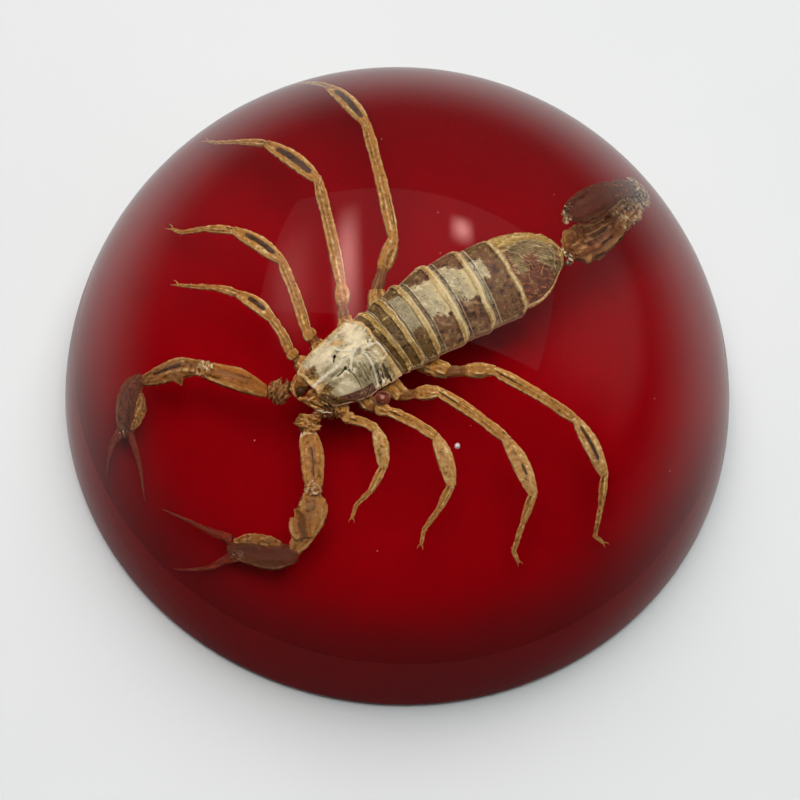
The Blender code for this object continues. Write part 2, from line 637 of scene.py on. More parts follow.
def carapace_finish(look):
    """Head plate: silvery cream with pale patches, olive patches, a golden rim and a thin pink margin.
    Painted highlights pale its ridges and some patches; painted shade darkens its hollows, grooves and the
    flanks of ridges.
    """
    finish = Finish("head_plate_shell")
    crackle = finish.grain(0.30, detail=3.0, roughness=0.5, distortion=0.8)
    mottle = finish.grain(0.9, detail=3.0, distortion=0.5)
    height = finish.add(finish.times(crackle, 0.42), finish.times(mottle, 0.58))
    # The modelled relief, coloured below, paints shade in hollows and highlight on crests.
    height = finish.add(height, finish.times(finish.mark("relief"), 0.24))
    # Pale patches, partly painted highlight.
    glow = finish.ease(finish.ragged("glow", mottle, 0.7), 0.0, 0.55)
    base = finish.mix(glow, shaded(look.silver, 1.02), (0.96, 0.85, 0.54))
    deep = finish.mix(glow, (0.31, 0.24, 0.105), (0.68, 0.57, 0.31))
    finish.colour = finish.layered(height, deep, base, (1.0, 0.93, 0.66), (0.33, 0.45), (0.53, 0.68))
    dim = finish.layered(height, (0.075, 0.055, 0.020), (0.29, 0.24, 0.11), (0.74, 0.66, 0.42))
    # Olive patches, partly painted shade on the flanks of ridges.
    finish.stain("shade", crackle, 0.8, 0.25, 0.85, dim, 0.9)
    gold = finish.layered(height, (0.22, 0.11, 0.02), between(look.cream, look.ochre, 0.45), look.cream)
    finish.stain("yellow", crackle, 0.8, 0.30, 0.62, gold, 0.95)
    margin = finish.layered(height, (0.09, 0.025, 0.018), (0.26, 0.095, 0.060), (0.55, 0.36, 0.22))
    finish.stain("thin", crackle, 0.7, 0.40, 0.62, margin, 0.92)
    olive = finish.layered(height, (0.020, 0.010, 0.004), (0.075, 0.040, 0.014), (0.30, 0.19, 0.07))
    olive_edge = finish.ragged("olive", crackle, 0.5)
    finish.paint(finish.ease(olive_edge, 0.30, 0.48, 0.0, 0.95), olive)
    near_olive = finish.ease(finish.mark("olive"), 0.05, 0.2)
    outline = finish.times(finish.peak(olive_edge, 0.30, 0.10), near_olive)
    finish.paint(finish.times(outline, 0.85), look.cream)
    crumb = finish.layered(height, look.brown, (0.25, 0.11, 0.020), (0.60, 0.36, 0.09))
    finish.stain("crumbs", crackle, 1.6, 0.38, 0.52, crumb, 0.95)
    # Painted highlight on the ridges.
    finish.stain("crest", crackle, 0.4, 0.22, 0.85, (1.0, 0.96, 0.76), 0.8)
    finish.paint(finish.ease(finish.mark("edge"), 0.3, 0.8), (0.82, 0.56, 0.34))
    # Grooves painted dark: partly dark cracks, partly painted shade.
    finish.stain("groove", crackle, 0.9, 0.35, 0.75, (0.070, 0.040, 0.015), 0.9)
    finish.paint(finish.ease(finish.mark("eye"), 0.42, 0.55), (0.010, 0.004, 0.004))
    finish.set(Base_Color=finish.colour, Specular_IOR_Level=0.32)
    finish.set(Roughness=finish.ease(crackle, 0.3, 0.7, 0.18, 0.38))
    see_through = finish.most(finish.mark("thin"), finish.mark("olive"))
    finish.set(Alpha=finish.ease(see_through, 0.4, 0.8, 1.0, 0.72))
    finish.bumps(height, 0.13, 1.0)
    return finish.material


def back_plate_finish(look):
    """Back plates: a dark strip, a thin pale line, brown film or loose silver, then a golden band. The dark
    strip is partly painted shade under the plate in front; thin lines of painted shade edge the band, and
    painted highlights run along the band's ridge and the plate's rim.
    """
    finish = Finish("back_plate_shell")
    across, along = finish.place()
    side = finish.times(finish.sums("ABSOLUTE", finish.add(across, -0.5)), 2.0)
    crackle = finish.grain(0.26, detail=5.0, distortion=0.9)
    mottle = finish.grain(0.75, detail=4.0, distortion=0.5)
    # Colour by these heights: random tone, with painted shade in the relief's hollows and painted highlight
    # on its crests.
    height = finish.tone_and_relief_shade(crackle, mottle)
    crumb = finish.add(crackle, -0.5)
    waver = finish.times(finish.add(mottle, -0.5), 0.16)
    smudge = finish.grain(0.55, detail=3.0, distortion=1.0)
    smooth = finish.tone_and_relief_shade(mottle, smudge, 0.12)
    edges = ((0.37, 0.49), (0.51, 0.63))
    film = finish.layered(smooth, (0.115, 0.042, 0.018), (0.31, 0.145, 0.062), (0.58, 0.38, 0.18), *edges)
    tone_and_relief_shade = finish.add(finish.times(height, 0.4), finish.times(smooth, 0.6))
    golden = finish.layered(tone_and_relief_shade, (0.045, 0.020, 0.006), (0.19, 0.105, 0.026), (0.86, 0.63, 0.25),
                            (0.38, 0.50), (0.56, 0.68))
    film = finish.mix(finish.ease(finish.ragged("gold", mottle, 1.2), 0.25, 0.85), film, golden)
    dark = finish.layered(height, (0.12, 0.070, 0.030), (0.34, 0.23, 0.11), (0.72, 0.56, 0.31))
    grey = finish.layered(height, (0.19, 0.16, 0.10), (0.54, 0.48, 0.32), (1.0, 0.93, 0.72))
    dark = finish.mix(finish.ease(finish.ragged("strip_silver", mottle, 2.0), 0.3, 0.9), dark, grey)
    in_strip = finish.ease(finish.add(along, finish.times(crumb, 0.03)), 0.205, 0.185)
    silver_edge = finish.add(finish.ragged("silver", crackle, 0.7), finish.times(waver, 1.6))
    dull = shaded(look.silver, 0.45)
    silver = finish.layered(smooth, dull, look.silver, (0.96, 0.84, 0.54), (0.34, 0.50), (0.52, 0.68))
    sunny = finish.times(finish.ease(finish.add(along, waver), 0.50, 0.80), 0.8)
    silver = finish.mix(sunny, silver, (0.84, 0.68, 0.33))
    silver = finish.mix(finish.ease(smudge, 0.62, 0.72, 0.0, 0.75), silver, (0.17, 0.105, 0.055))
    silver = finish.mix(finish.mark("dull"), silver, (0.16, 0.13, 0.065))
    finish.colour = finish.mix(finish.ease(silver_edge, -0.02, 0.03), film, silver)
    band_edge = finish.add(finish.add(along, waver), finish.mark("band"))
    lit = finish.ease(finish.mark("bright_band"), 0.0, 1.0)
    yellow = finish.mix(lit, (0.50, 0.29, 0.060), (0.74, 0.53, 0.20))
    edges = ((0.32, 0.44), (0.52, 0.66))
    band = finish.layered(height, (0.27, 0.135, 0.028), yellow, (0.92, 0.72, 0.33), *edges)
    # A painted highlight along the band's raised ridge.
    band_ridge_highlight = finish.times(finish.peak(finish.add(along, finish.times(waver, 0.5)), 0.89, 0.08), 0.9)
    band_ridge_highlight = finish.times(band_ridge_highlight, finish.ease(finish.mark("bright_band"), 0.0, 1.0, 0.25, 1.0))
    band = finish.mix(band_ridge_highlight, band, (0.98, 0.86, 0.52))
    # A thin line of painted shade where the band steps up.
    finish.paint(finish.times(finish.peak(band_edge, 0.79, 0.03), 0.2), (0.15, 0.075, 0.018))
    finish.paint(finish.ease(band_edge, 0.77, 0.85), band)
    # The dark strip: partly darker skin, partly painted shade under the plate in front.
    finish.paint(in_strip, dark)
    finish.paint(finish.peak(along, 0.202, 0.018), (1.0, 0.88, 0.60))
    # A thin line of painted shade where the plate's rear edge drops.
    finish.paint(finish.times(finish.peak(along, 0.964, 0.014), 0.45), (0.13, 0.06, 0.018))
    # A painted highlight along the plate's side ends and rear edge.
    rim = finish.most(finish.ease(side, 0.968, 0.985), finish.ease(along, 0.975, 0.985))
    finish.paint(finish.times(rim, 0.9), (0.86, 0.60, 0.36))
    finish.set(Base_Color=finish.colour, Specular_IOR_Level=0.25)
    finish.set(Roughness=finish.ease(crackle, 0.3, 0.7, 0.22, 0.42))
    solid = finish.most(finish.ease(band_edge, 0.76, 0.82), rim)
    solid = finish.most(solid, finish.ease(silver_edge, 0.0, 0.03))
    solid = finish.most(solid, finish.times(finish.mark("gold"), 0.8))
    finish.set(Alpha=finish.ease(solid, 0.0, 1.0, 0.66, 0.97))
    finish.bumps(height, 0.13, 1.0)
    return finish.material


def last_plate_finish(look):
    """The last back plate: gold and crumpled on its right, silvery olive in folds, pink film below."""
    finish = Finish("last_plate_shell")
    crackle = finish.grain(0.30, detail=5.0, distortion=1.2)
    folds = finish.grain(0.6, finish.spot_stretched((500.0, 1900.0, 1200.0)), detail=3.0, distortion=1.2)
    # Colour by these heights: random tone, with painted shade in the relief's hollows and painted highlight
    # on its crests.
    height = finish.tone_and_relief_shade(crackle, folds, 0.22)
    smooth = finish.tone_and_relief_shade(folds, folds, 0.16)
    edges = ((0.32, 0.44), (0.54, 0.68))
    film = ((0.14, 0.034, 0.018), (0.34, 0.110, 0.050), (0.62, 0.33, 0.15))
    finish.colour = finish.layered(smooth, *film, *edges)
    gold = finish.layered(smooth, (0.26, 0.125, 0.022), (0.62, 0.40, 0.10), (1.0, 0.84, 0.42), *edges)
    gold_edge = finish.ragged("gold", crackle, 1.0)
    finish.paint(finish.ease(gold_edge, 0.35, 0.62), gold)
    olive = finish.layered(smooth, (0.085, 0.052, 0.016), (0.31, 0.21, 0.080), (0.70, 0.56, 0.28), *edges)
    olive_edge = finish.ragged("olive", folds, 1.0)
    finish.paint(finish.ease(olive_edge, 0.30, 0.65), olive)
    finish.stain("crease", crackle, 1.2, 0.20, 0.95, (0.86, 0.66, 0.34), 0.45)
    rim = finish.ease(finish.mark("rim"), 0.3, 0.7)
    rim_colour = finish.mix(finish.ease(height, 0.4, 0.55), look.ochre, look.cream)
    finish.paint(finish.times(rim, 0.9), rim_colour)
    finish.set(Base_Color=finish.colour, Specular_IOR_Level=0.28)
    finish.set(Roughness=finish.ease(crackle, 0.3, 0.7, 0.20, 0.42))
    solid = finish.most(rim, finish.most(finish.ease(gold_edge, 0.3, 0.6), finish.ease(olive_edge, 0.3, 0.6)))
    finish.set(Alpha=finish.ease(solid, 0.0, 1.0, 0.62, 0.95))
    finish.bumps(height, 0.16, 1.0)
    return finish.material


def belly_finish(look):
    """Underside skin: brown film with paler, thicker belly plates."""
    finish = Finish("belly_skin")
    mottle = finish.grain(0.9, detail=4.0)
    crackle = finish.grain(0.3, detail=4.0)
    finish.colour = finish.mix(finish.ease(mottle, 0.35, 0.65), (0.16, 0.060, 0.030), (0.32, 0.15, 0.07))
    finish.stain("plate", crackle, 0.5, 0.3, 0.7, shaded(look.ochre, 0.7), 0.7)
    finish.set(Base_Color=finish.colour, Roughness=0.5, Specular_IOR_Level=0.25)
    finish.set(Alpha=finish.ease(mottle, 0.3, 0.7, 0.55, 0.8))
    finish.bumps(finish.add(crackle, mottle), 0.08, 0.8)
    return finish.material


def bead_finish():
    """Glossy golden beads at the tail's joints."""
    finish = Finish("joint_bead")
    mottle = finish.grain(0.25, detail=4.0, distortion=0.8)
    # Colour by this height: random tone, with painted shade in the relief's hollows and painted highlight on
    # its crests.
    height = finish.tone_and_relief_shade(mottle, mottle, 0.4)
    colour = finish.layered(height, (0.12, 0.055, 0.016), (0.48, 0.30, 0.10), (0.94, 0.82, 0.54))
    finish.set(Base_Color=colour, Specular_IOR_Level=0.5)
    finish.set(Roughness=finish.ease(mottle, 0.3, 0.7, 0.10, 0.25))
    finish.bumps(mottle, 0.08, 0.8)
    return finish.material


def bubble_finish():
    """A bubble in the resin, in painted light: dark red where the layer below shows through it, a pale
    outline painted as its rim's reflection, and a painted highlight.
    """
    finish = Finish("bubble_wall")
    cloud = finish.grain(0.6, detail=2.0)
    finish.colour = finish.mix(finish.ease(cloud, 0.3, 0.7), (0.16, 0.022, 0.012), (0.24, 0.045, 0.020))
    # Painted highlight in the middle.
    finish.stain("glint", cloud, 0.5, 0.2, 0.9, (0.60, 0.30, 0.17), 0.85)
    # Painted reflection round the rim.
    finish.paint(finish.ease(finish.mark("outline"), 0.2, 0.9, 0.0, 0.8), (0.64, 0.36, 0.22))
    finish.set(Base_Color=finish.colour, Roughness=finish.ease(cloud, 0.3, 0.7, 0.15, 0.25))
    finish.set(Alpha=finish.ease(finish.mark("outline"), 0.2, 0.9, 0.85, 0.7), Specular_IOR_Level=0.5)
    finish.bumps(cloud, 0.02, 0.5)
    return finish.material


def speck_finish():
    """White specks sealed in the resin."""
    finish = Finish("white_speck")
    grain = finish.grain(0.1, detail=2.0)
    colour = finish.mix(finish.ease(grain, 0.35, 0.6), (0.94, 0.92, 0.88), (1.0, 1.0, 1.0))
    finish.set(Base_Color=colour, Roughness=0.6)
    finish.bumps(grain, 0.03, 0.8)
    return finish.material


def floor_finish(stage):
    finish = Finish("pale_floor")
    cloud = finish.grain(60.0, detail=3.0)
    colour = finish.mix(finish.ease(cloud, 0.3, 0.7), stage.floor_colour, shaded(stage.floor_colour, 0.975))
    finish.set(Base_Color=colour, Roughness=0.55, Specular_IOR_Level=0.3)
    finish.bumps(finish.grain(1.2, detail=3.0), 0.02, 0.3)
    return finish.material


# ---------------------------------------------------------------- resin


def ball_arc(top, bottom, steps):
    """Points of the ball's outline, as radius and height, from one height down to another."""
    angles = [math.asin((height - BALL_CENTRE_HEIGHT) / BALL_RADIUS) for height in (top, bottom)]
    turned = np.linspace(angles[0], angles[1], steps + 1)
    return [
        (BALL_RADIUS * math.cos(angle), BALL_CENTRE_HEIGHT + BALL_RADIUS * math.sin(angle))
        for angle in turned
    ]


def turned_piece(name, profile, turns):
    """Turns a profile, from the top down its outer side, into a closed piece about +Z."""
    outline = bpy.data.meshes.new(name + "_outline")
    corners = [(radius, 0.0, height) for radius, height in profile]
    outline.from_pydata(corners, [(index, index + 1) for index in range(len(profile) - 1)], [])
    maker = bpy.data.objects.new(name + "_maker", outline)
    bpy.context.scene.collection.objects.link(maker)
    screw = maker.modifiers.new("Turn", "SCREW")
    screw.steps = turns
    screw.render_steps = turns
    screw.use_merge_vertices = True
    screw.merge_threshold = AXIS_MERGE
    depsgraph = bpy.context.evaluated_depsgraph_get()
    mesh = bpy.data.meshes.new_from_object(maker.evaluated_get(depsgraph))
    bpy.data.objects.remove(maker)
    mesh.shade_smooth()
    mesh.set_sharp_from_angle(angle=math.radians(30))
    return add_object(name, mesh)


def build_clear_dome(resin):
    """The clear cap, bonded to the red layer: its lowest rim sits just inside the red layer's top."""
    bottom = FOOT_TOP - BOND_DEPTH
    outside = ball_arc(DOME_HEIGHT, FOOT_TOP, CAP_ARC_STEPS)
    rim = outside[-1][0] - BOND_INSET
    profile = [(0.0, DOME_HEIGHT), *outside[1:], (rim, FOOT_TOP), (rim, bottom), (0.0, bottom)]
    dome = turned_piece("clear_resin_cap", profile, resin.turns)
    dome.data.materials.append(clear_resin_finish(resin))
    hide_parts("clear_resin_dome")
    return dome


def build_red_foot(resin):
    """The red layer: flat where the cap is bonded on, down the ball, round the foot's edge."""
    middle = FOOT_EDGE_ROUND - BALL_CENTRE_HEIGHT
    edge_x = math.sqrt((BALL_RADIUS - FOOT_EDGE_ROUND) ** 2 - middle**2)
    edge_angle = math.atan2(middle, edge_x)
    edge_top = FOOT_EDGE_ROUND * (1 + math.sin(edge_angle))
    outside = ball_arc(FOOT_TOP, edge_top, FOOT_ARC_STEPS)
    edge = [
        (edge_x + FOOT_EDGE_ROUND * math.cos(angle), FOOT_EDGE_ROUND * (1 + math.sin(angle)))
        for angle in np.linspace(edge_angle, -math.pi / 2, FOOT_EDGE_STEPS)
    ]
    profile = [(0.0, FOOT_TOP), *outside, *edge[1:], (0.0, 0.0)]
    foot = turned_piece("red_resin_layer", profile, resin.turns)
    foot.data.materials.append(red_resin_finish(resin, "red_resin_outside", False))
    foot.data.materials.append(red_resin_finish(resin, "red_resin_bonded_face", True))
    for face in foot.data.polygons:
        if face.normal.z > 0.99:
            face.material_index = 1
    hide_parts("red_resin_base")
    return foot


# ---------------------------------------------------------------- head plate and mouth

HEAD_PLATE_ROWS = 172
HEAD_RIBS = [
    # right edge, crown, left edge; each as s, t, z
    ((0.30, 0.42, 14.4), (0.62, -1.45, 15.0), (0.88, -3.22, 14.3)),
    ((1.25, 1.20, 14.3), (1.95, -1.42, 15.9), (1.75, -3.85, 14.3)),
    ((2.94, 1.84, 14.3), (3.40, -1.25, 16.4), (3.15, -4.30, 14.3)),
    ((4.94, 2.43, 14.3), (5.10, -0.95, 16.6), (4.75, -4.60, 14.3)),
    ((5.95, 2.70, 14.4), (6.60, -0.75, 16.6), (6.25, -4.40, 14.3)),
    ((6.60, 2.78, 14.7), (7.75, -0.60, 16.3), (8.60, -4.30, 14.5)),
]
STAR = (5.77, -1.04)
# Crest lines stand proud and get a painted highlight.
# Each line: its points, its height and its half width, all in millimetres.
HEAD_CRESTS = [
    ([(0.61, -1.73), (1.81, -1.62), (2.85, -1.47), (3.92, -1.26), (4.97, -1.08), STAR], 0.16, 0.13),
    ([STAR, (4.42, -0.23), (4.05, 0.34)], 0.13, 0.09),
    ([STAR, (5.21, -1.11), (4.61, -1.72), (4.27, -2.18)], 0.13, 0.09),
    ([STAR, (6.62, -1.03), (7.52, -0.96), (7.86, -1.41), (7.97, -2.3)], 0.14, 0.10),
    ([STAR, (6.2, -1.64), (6.32, -2.34), (6.28, -3.34), (6.18, -4.12), (5.85, -4.87)], 0.13, 0.09),
    ([(6.1, -1.21), (6.58, -1.56), (6.91, -2.2)], 0.08, 0.06),
    ([(6.04, -1.0), (6.03, -0.26), (5.97, 0.24)], 0.09, 0.07),
    ([(6.85, 0.6), (7.3, 0.63), (7.48, 0.81)], 0.09, 0.08),
    ([(7.63, 0.0), (7.56, -0.42), (6.82, -0.68)], 0.08, 0.07),
    ([(7.88, -0.32), (7.57, -0.71), (7.87, -1.24)], 0.07, 0.06),
    ([(7.97, -2.3), (7.51, -2.51), (6.85, -3.08), (6.51, -3.83)], 0.08, 0.06),
    ([(5.04, -2.03), (5.18, -2.85), (5.48, -3.84)], 0.06, 0.045),
    ([(5.42, -1.96), (5.62, -2.99), (5.81, -4.02)], 0.06, 0.045),
    ([(5.75, -2.14), (5.95, -3.16), (5.93, -4.26)], 0.06, 0.045),
    ([(4.52, -2.5), (4.74, -3.17), (5.18, -3.77)], 0.05, 0.045),
    ([(6.86, -3.37), (6.78, -3.97), (6.47, -4.36)], 0.12, 0.06),
    ([(7.03, -3.83), (6.73, -4.22), (6.86, -4.75), (6.75, -5.0)], 0.12, 0.06),
    ([(7.32, -4.07), (7.13, -4.71), (7.24, -5.0)], 0.11, 0.06),
]
# Grooves sink in and are painted dark: partly dark cracks, partly painted shade.
HEAD_GROOVES = [
    ([(3.95, -1.98), (4.37, -2.6), (4.66, -3.78)], 0.06, 0.05),
    ([(3.65, -0.37), (3.32, -0.78)], 0.10, 0.09),
    ([(3.93, -1.86), (3.45, -2.05), (2.95, -2.15)], 0.08, 0.09),
    ([(5.48, -3.84), (5.0, -4.32), (4.3, -4.88)], 0.10, 0.06),
    ([(0.74, -2.73), (1.38, -3.44), (1.66, -3.87)], 0.08, 0.06),
    ([(1.27, -2.73), (2.14, -3.65)], 0.07, 0.05),
    ([(2.32, -3.94), (3.1, -4.1), (3.9, -4.45)], 0.06, 0.06),
    ([(6.6, -3.1), (6.55, -3.9), (6.35, -4.7)], 0.06, 0.07),
    ([(7.6, -3.2), (7.5, -4.0), (7.6, -4.7)], 0.06, 0.08),
    ([(6.95, -0.61), (7.05, -0.5)], 0.10, 0.10),
    ([(8.0, 0.2), (8.2, -1.2), (8.35, -2.4), (8.45, -3.4)], 0.10, 0.07),
]
EYES = [(3.65, -0.37), (3.93, -1.86)]
EYE_SPECKS = [(4.17, -2.13), (4.41, -2.26), (6.95, -0.61)]
# Each blot: its middle, half length, half width, turn in degrees and strength.
CRUMBS = [
    ((1.44, -0.35), 0.34, 0.26, 20, 1.1),
    ((0.95, -0.25), 0.45, 0.30, 40, 0.75),
    ((1.77, -2.62), 0.42, 0.30, -30, 1.1),
    ((1.20, -2.95), 0.65, 0.45, -30, 0.7),
    ((1.91, -3.44), 0.55, 0.25, -50, 0.85),
    ((2.70, -3.95), 0.60, 0.20, -25, 0.75),
    ((6.10, -2.75), 0.25, 0.12, 60, 0.7),
]
# Pale patches, partly painted highlights.
PALE_AND_HIGHLIGHT_BLOTS = [
    ((5.35, -0.80), 1.3, 0.55, 10, 1.0),
    ((3.27, 0.66), 1.2, 0.70, 30, 1.0),
    ((6.20, 0.70), 1.1, 0.80, 60, 0.6),
    ((3.38, -3.29), 0.7, 0.45, -20, 0.9),
    ((4.60, -2.35), 0.35, 0.16, -40, 1.2),
    ((6.13, 1.91), 0.9, 0.4, 15, 0.6),
    ((2.30, -0.30), 0.8, 0.45, 30, 0.4),
]
# Olive patches, partly painted shade beside the ridges.
SHADES = [
    ((5.26, -2.85), 0.75, 0.95, -10, 0.95),
    ((6.75, -3.80), 0.50, 1.15, 10, 1.1),
    ((2.70, -0.98), 1.35, 0.22, 8, 0.8),
    ((3.00, -1.85), 1.10, 0.20, 8, 0.8),
    ((1.30, -1.00), 0.45, 0.50, 0, 0.9),
    ((1.60, -1.95), 0.70, 0.22, 8, 0.7),
    ((7.10, -0.25), 0.45, 0.30, 20, 0.7),
    ((6.97, 1.27), 0.50, 0.22, 20, 0.7),
    ((4.15, -4.06), 0.55, 0.40, 0, 0.7),
    ((2.45, -2.55), 0.60, 0.30, -10, 0.6),
    ((4.50, -0.95), 0.35, 0.12, 0, 0.7),
]
TAN_OVAL = ((4.56, 0.80), 0.60, 0.34, -20)
BROWN_CORNER = ((7.95, -3.85), 0.62, 1.15, 12)


def head_rib(right, crown, left):
    """Five stations of a rib of the head plate: its shoulders stand nearly as high as its crown."""
    right, crown, left = (np.array(point) for point in (right, crown, left))
    shoulders = []
    for edge in (right, left):
        shoulder = (edge + crown) / 2
        shoulder[2] = edge[2] + 0.80 * (crown[2] - edge[2])
        shoulders.append(shoulder)
    return [right, shoulders[0], crown, shoulders[1], left]


def build_head_plate(look):
    cage = [head_rib(*rib) for rib in HEAD_RIBS]
    cage[-1][1] = np.array([7.75, 1.40, 15.7])
    cage[-1][3] = np.array([8.15, -2.20, 15.9])
    sheet = patch(cage, HEAD_PLATE_ROWS, HEAD_PLATE_ROWS)
    across, along = sheet_places(HEAD_PLATE_ROWS, HEAD_PLATE_ROWS)
    wander = wavered(sheet, 0.5, 0.07)
    crest = np.zeros(sheet.shape[:2])
    groove = np.zeros(sheet.shape[:2])
    lift = 0.18 * ripple(sheet, 1.2) + 0.12 * ripple(sheet, 0.6, 7.0) + 0.03 * ripple(sheet, 0.25, 8.0)
    for line, height, width in HEAD_CRESTS:
        here = on_line(wander, line, 1.5 * width) * (0.75 + 0.5 * ripple(sheet, 0.35, 3.0))
        crest = np.maximum(crest, here * min(1.1, height / 0.10))
        lift += 1.25 * height * here
    for line, depth, width in HEAD_GROOVES:
        here = on_line(wander, line, width)
        groove = np.maximum(groove, here)
        lift -= depth * here
    eye = np.zeros(sheet.shape[:2])
    for middle in EYES:
        socket = in_blot(sheet, middle, 0.34, 0.26, 60)
        eye = np.maximum(eye, in_blot(wander, middle, 0.19, 0.14, 60))
        lift += 0.16 * eye - 0.12 * socket
    for middle in EYE_SPECKS:
        eye = np.maximum(eye, in_blot(wander, middle, 0.07, 0.05, 0))
    crumbs, glow, shade = (blotted(wander, blots) for blots in (CRUMBS, PALE_AND_HIGHLIGHT_BLOTS, SHADES))
    lift += crumbs * (0.10 * ripple(sheet, 0.18, 4.0) - 0.05) + 0.05 * glow - 0.05 * shade
    tan = in_blot(wander, *TAN_OVAL)
    front, rear = ease(along, 0.075, 0.02), ease(along, 0.93, 0.975)
    sides = ease(np.abs(across), 0.88, 0.96)
    olive = in_blot(wander, *BROWN_CORNER)
    thin = ease(across, 0.76, 0.84) * ease(along, 0.08, 0.16) * ease(along, 0.80, 0.70)
    lift += 0.22 * np.maximum(front, rear) + 0.10 * sides * (1 - thin)
    sheet[..., 2] += lift
    gold = np.maximum(np.maximum(front, rear) * 1.2, 0.95 * sides)
    gold = np.maximum(gold, 0.65 * ease(along, 0.22, 0.10))
    marks = {
        "crest": crest, "groove": groove, "eye": eye, "crumbs": crumbs, "glow": glow, "shade": shade,
        "olive": olive * ease(along, 0.95, 0.90),
        "thin": thin,
        "edge": ease(across, 0.965, 0.985) * ease(along, 0.10, 0.2),
        "yellow": np.maximum(gold * (1 - 0.8 * thin), tan),
        "relief": standing(sheet[..., 2], 4, 0.10),
    }
    skin = Skin()
    skin.add_grid(sheet, marks)
    return new_piece("head_plate", skin, carapace_finish(look), look, thickness=0.09, closed=False)


# How far limbs bulge along their sides, as a share of their width.
LIMB_KEEL = 0.06


def rings(path, half_widths, half_depths, steps, around):
    """Rings of points along a smooth path. Angle 0 is the top side and pi / 2 the right-hand side."""
    along = np.linspace(0, 1, steps)
    centres = spline(path, along)
    forward = unit(np.gradient(centres, axis=0))
    sideways = unit(np.cross(forward, (0.0, 0.0, 1.0)))
    top = np.cross(sideways, forward)
    angle = np.arange(around) * 2 * math.pi / around
    width = spline(half_widths, along)[:, None] * (1 + LIMB_KEEL * np.abs(np.sin(angle)) ** 6)
    depth = spline(half_depths, along)[:, None]
    flat = width * np.sin(angle)
    high = depth * np.cos(angle)
    grid = centres[:, None] + flat[..., None] * sideways[:, None] + high[..., None] * top[:, None]
    return grid, along[:, None] * np.ones((1, around)), np.ones((steps, 1)) * angle, centres


def round_gap(angle, middle):
    """The smaller turn between two angles."""
    return np.abs((angle - middle + math.pi) % (2 * math.pi) - math.pi)


def stripe(along, angle, first, last, fade, middle, half):
    """1 on a stripe along a limb's surface, fading at its ends and to its sides."""
    lengthwise = ease(along, first - 0.05, first + fade) * ease(along, last + 0.05, last - fade)
    return lengthwise * np.exp(-((round_gap(angle, middle) / half) ** 2))


def edge_ridges(angle, half, height, first=0.05, last=0.95):
    """Two like ridges, one down each side of a limb part."""
    return [(first, last, turn, half, height) for turn in (angle, -angle)]


def add_part(skin, path, half_widths, half_depths, index=0, steps=36, around=24, dents=(), ridges=(),
             rough=0.03, lump=0.5, folds=0.0, marks=None, seed=0.0):
    """One limb part. dents and ridges are (from, to, angle, half angle, depth) along its surface.

    rough is how far the surface crumples, in millimetres, and folds how far it wrinkles lengthwise,
    as a share of its width.
    """
    grid, along, angle, centres = rings(path, half_widths, half_depths, steps, around)
    out = grid - centres[:, None]
    groove = np.zeros(along.shape)
    crest = np.zeros(along.shape)
    scale = np.ones(along.shape)
    if folds:
        length = np.linalg.norm(np.diff(centres, axis=0), axis=1).sum()
        where = np.stack([2.4 * np.cos(angle), 2.4 * np.sin(angle), 0.7 * length * along], -1)
        scale += folds * (ripple(where, 1.0, seed + 0.5) + 0.6 * ripple(where, 0.45, seed + 9.5))
    # Each dent's groove mark paints it dark, the more the deeper it is: painted shade in the dent.
    for first, last, middle, half, depth in dents:
        here = stripe(along, angle, first, last, 0.06, middle, half)
        groove = np.maximum(groove, here * min(1.0, depth / 0.2))
        scale -= depth * here
    # Each ridge's crest mark gives it a painted highlight.
    for first, last, middle, half, height in ridges:
        here = stripe(along, angle, first, last, 0.05, middle, half)
        crest = np.maximum(crest, here * min(1.0, height / 0.12))
        scale += height * here
    grid = centres[:, None] + out * scale[..., None]
    if rough:
        grid = crumple(grid, lump, rough, seed)
    given = dict(marks or {})
    given["groove"] = np.maximum(groove, given.get("groove", 0.0))
    given["crest"] = np.maximum(crest, given.get("crest", 0.0))
    height = np.linalg.norm(grid - centres[:, None], axis=-1)
    given["relief"] = standing(height, max(2, around // 12), 0.09 * float(np.max(half_widths)), ring=True)
    skin.add_grid(grid, given, ring=True, start=float(index), capped=True)


def add_folds(skin, middle, reach, count, size, index, seed, marks=None, way=None):
    """Crumpled folds of skin heaped over a rough core: curved ribbons, which lie across the way."""
    middle = np.array(middle, float)
    draw = random.Random(seed)
    core = (middle - (0.7 * reach, 0, 0), middle, middle + (0.7 * reach, 0, 0))
    core_widths = (0.45 * reach, 0.85 * reach, 0.45 * reach)
    core_depths = (0.35 * reach, 0.6 * reach, 0.35 * reach)
    add_part(skin, core, core_widths, core_depths, index=index, steps=30, around=30, rough=0.35 * reach,
             lump=0.4, marks=marks, seed=seed)
    for number in range(count):
        turn = draw.uniform(0, 2 * math.pi)
        far = reach * draw.uniform(0.15, 0.85)
        if way is not None:
            turn = math.atan2(way[1], way[0]) + draw.uniform(-0.4, 0.4)
            far = 1.5 * reach * ((number + 0.5) / count - 0.5)
        aside = np.array([math.cos(turn), math.sin(turn), 0.0])
        ahead = np.array([-aside[1], aside[0], 0.0])
        rise = 0.75 * math.sqrt(max(0.0, reach**2 - far**2)) * draw.uniform(0.7, 1)
        spot = middle + far * aside + (0, 0, rise)
        half = draw.uniform(0.35, 0.7) * reach
        if way is not None:
            half = math.sqrt(reach**2 - far**2) * draw.uniform(0.75, 1.1)
            spot = spot + ahead * draw.uniform(-0.25, 0.25) * reach
        low = spot - (0, 0, 0.3 * half)
        path = (low - half * ahead, spot + 0.2 * half * aside, low + half * ahead)
        add_part(skin, path, (0.3 * size, size, 0.3 * size), (0.4 * size, 1.3 * size, 0.4 * size),
                 index=index, steps=22, around=12, rough=0.10, lump=0.3, marks=marks, seed=seed + number)


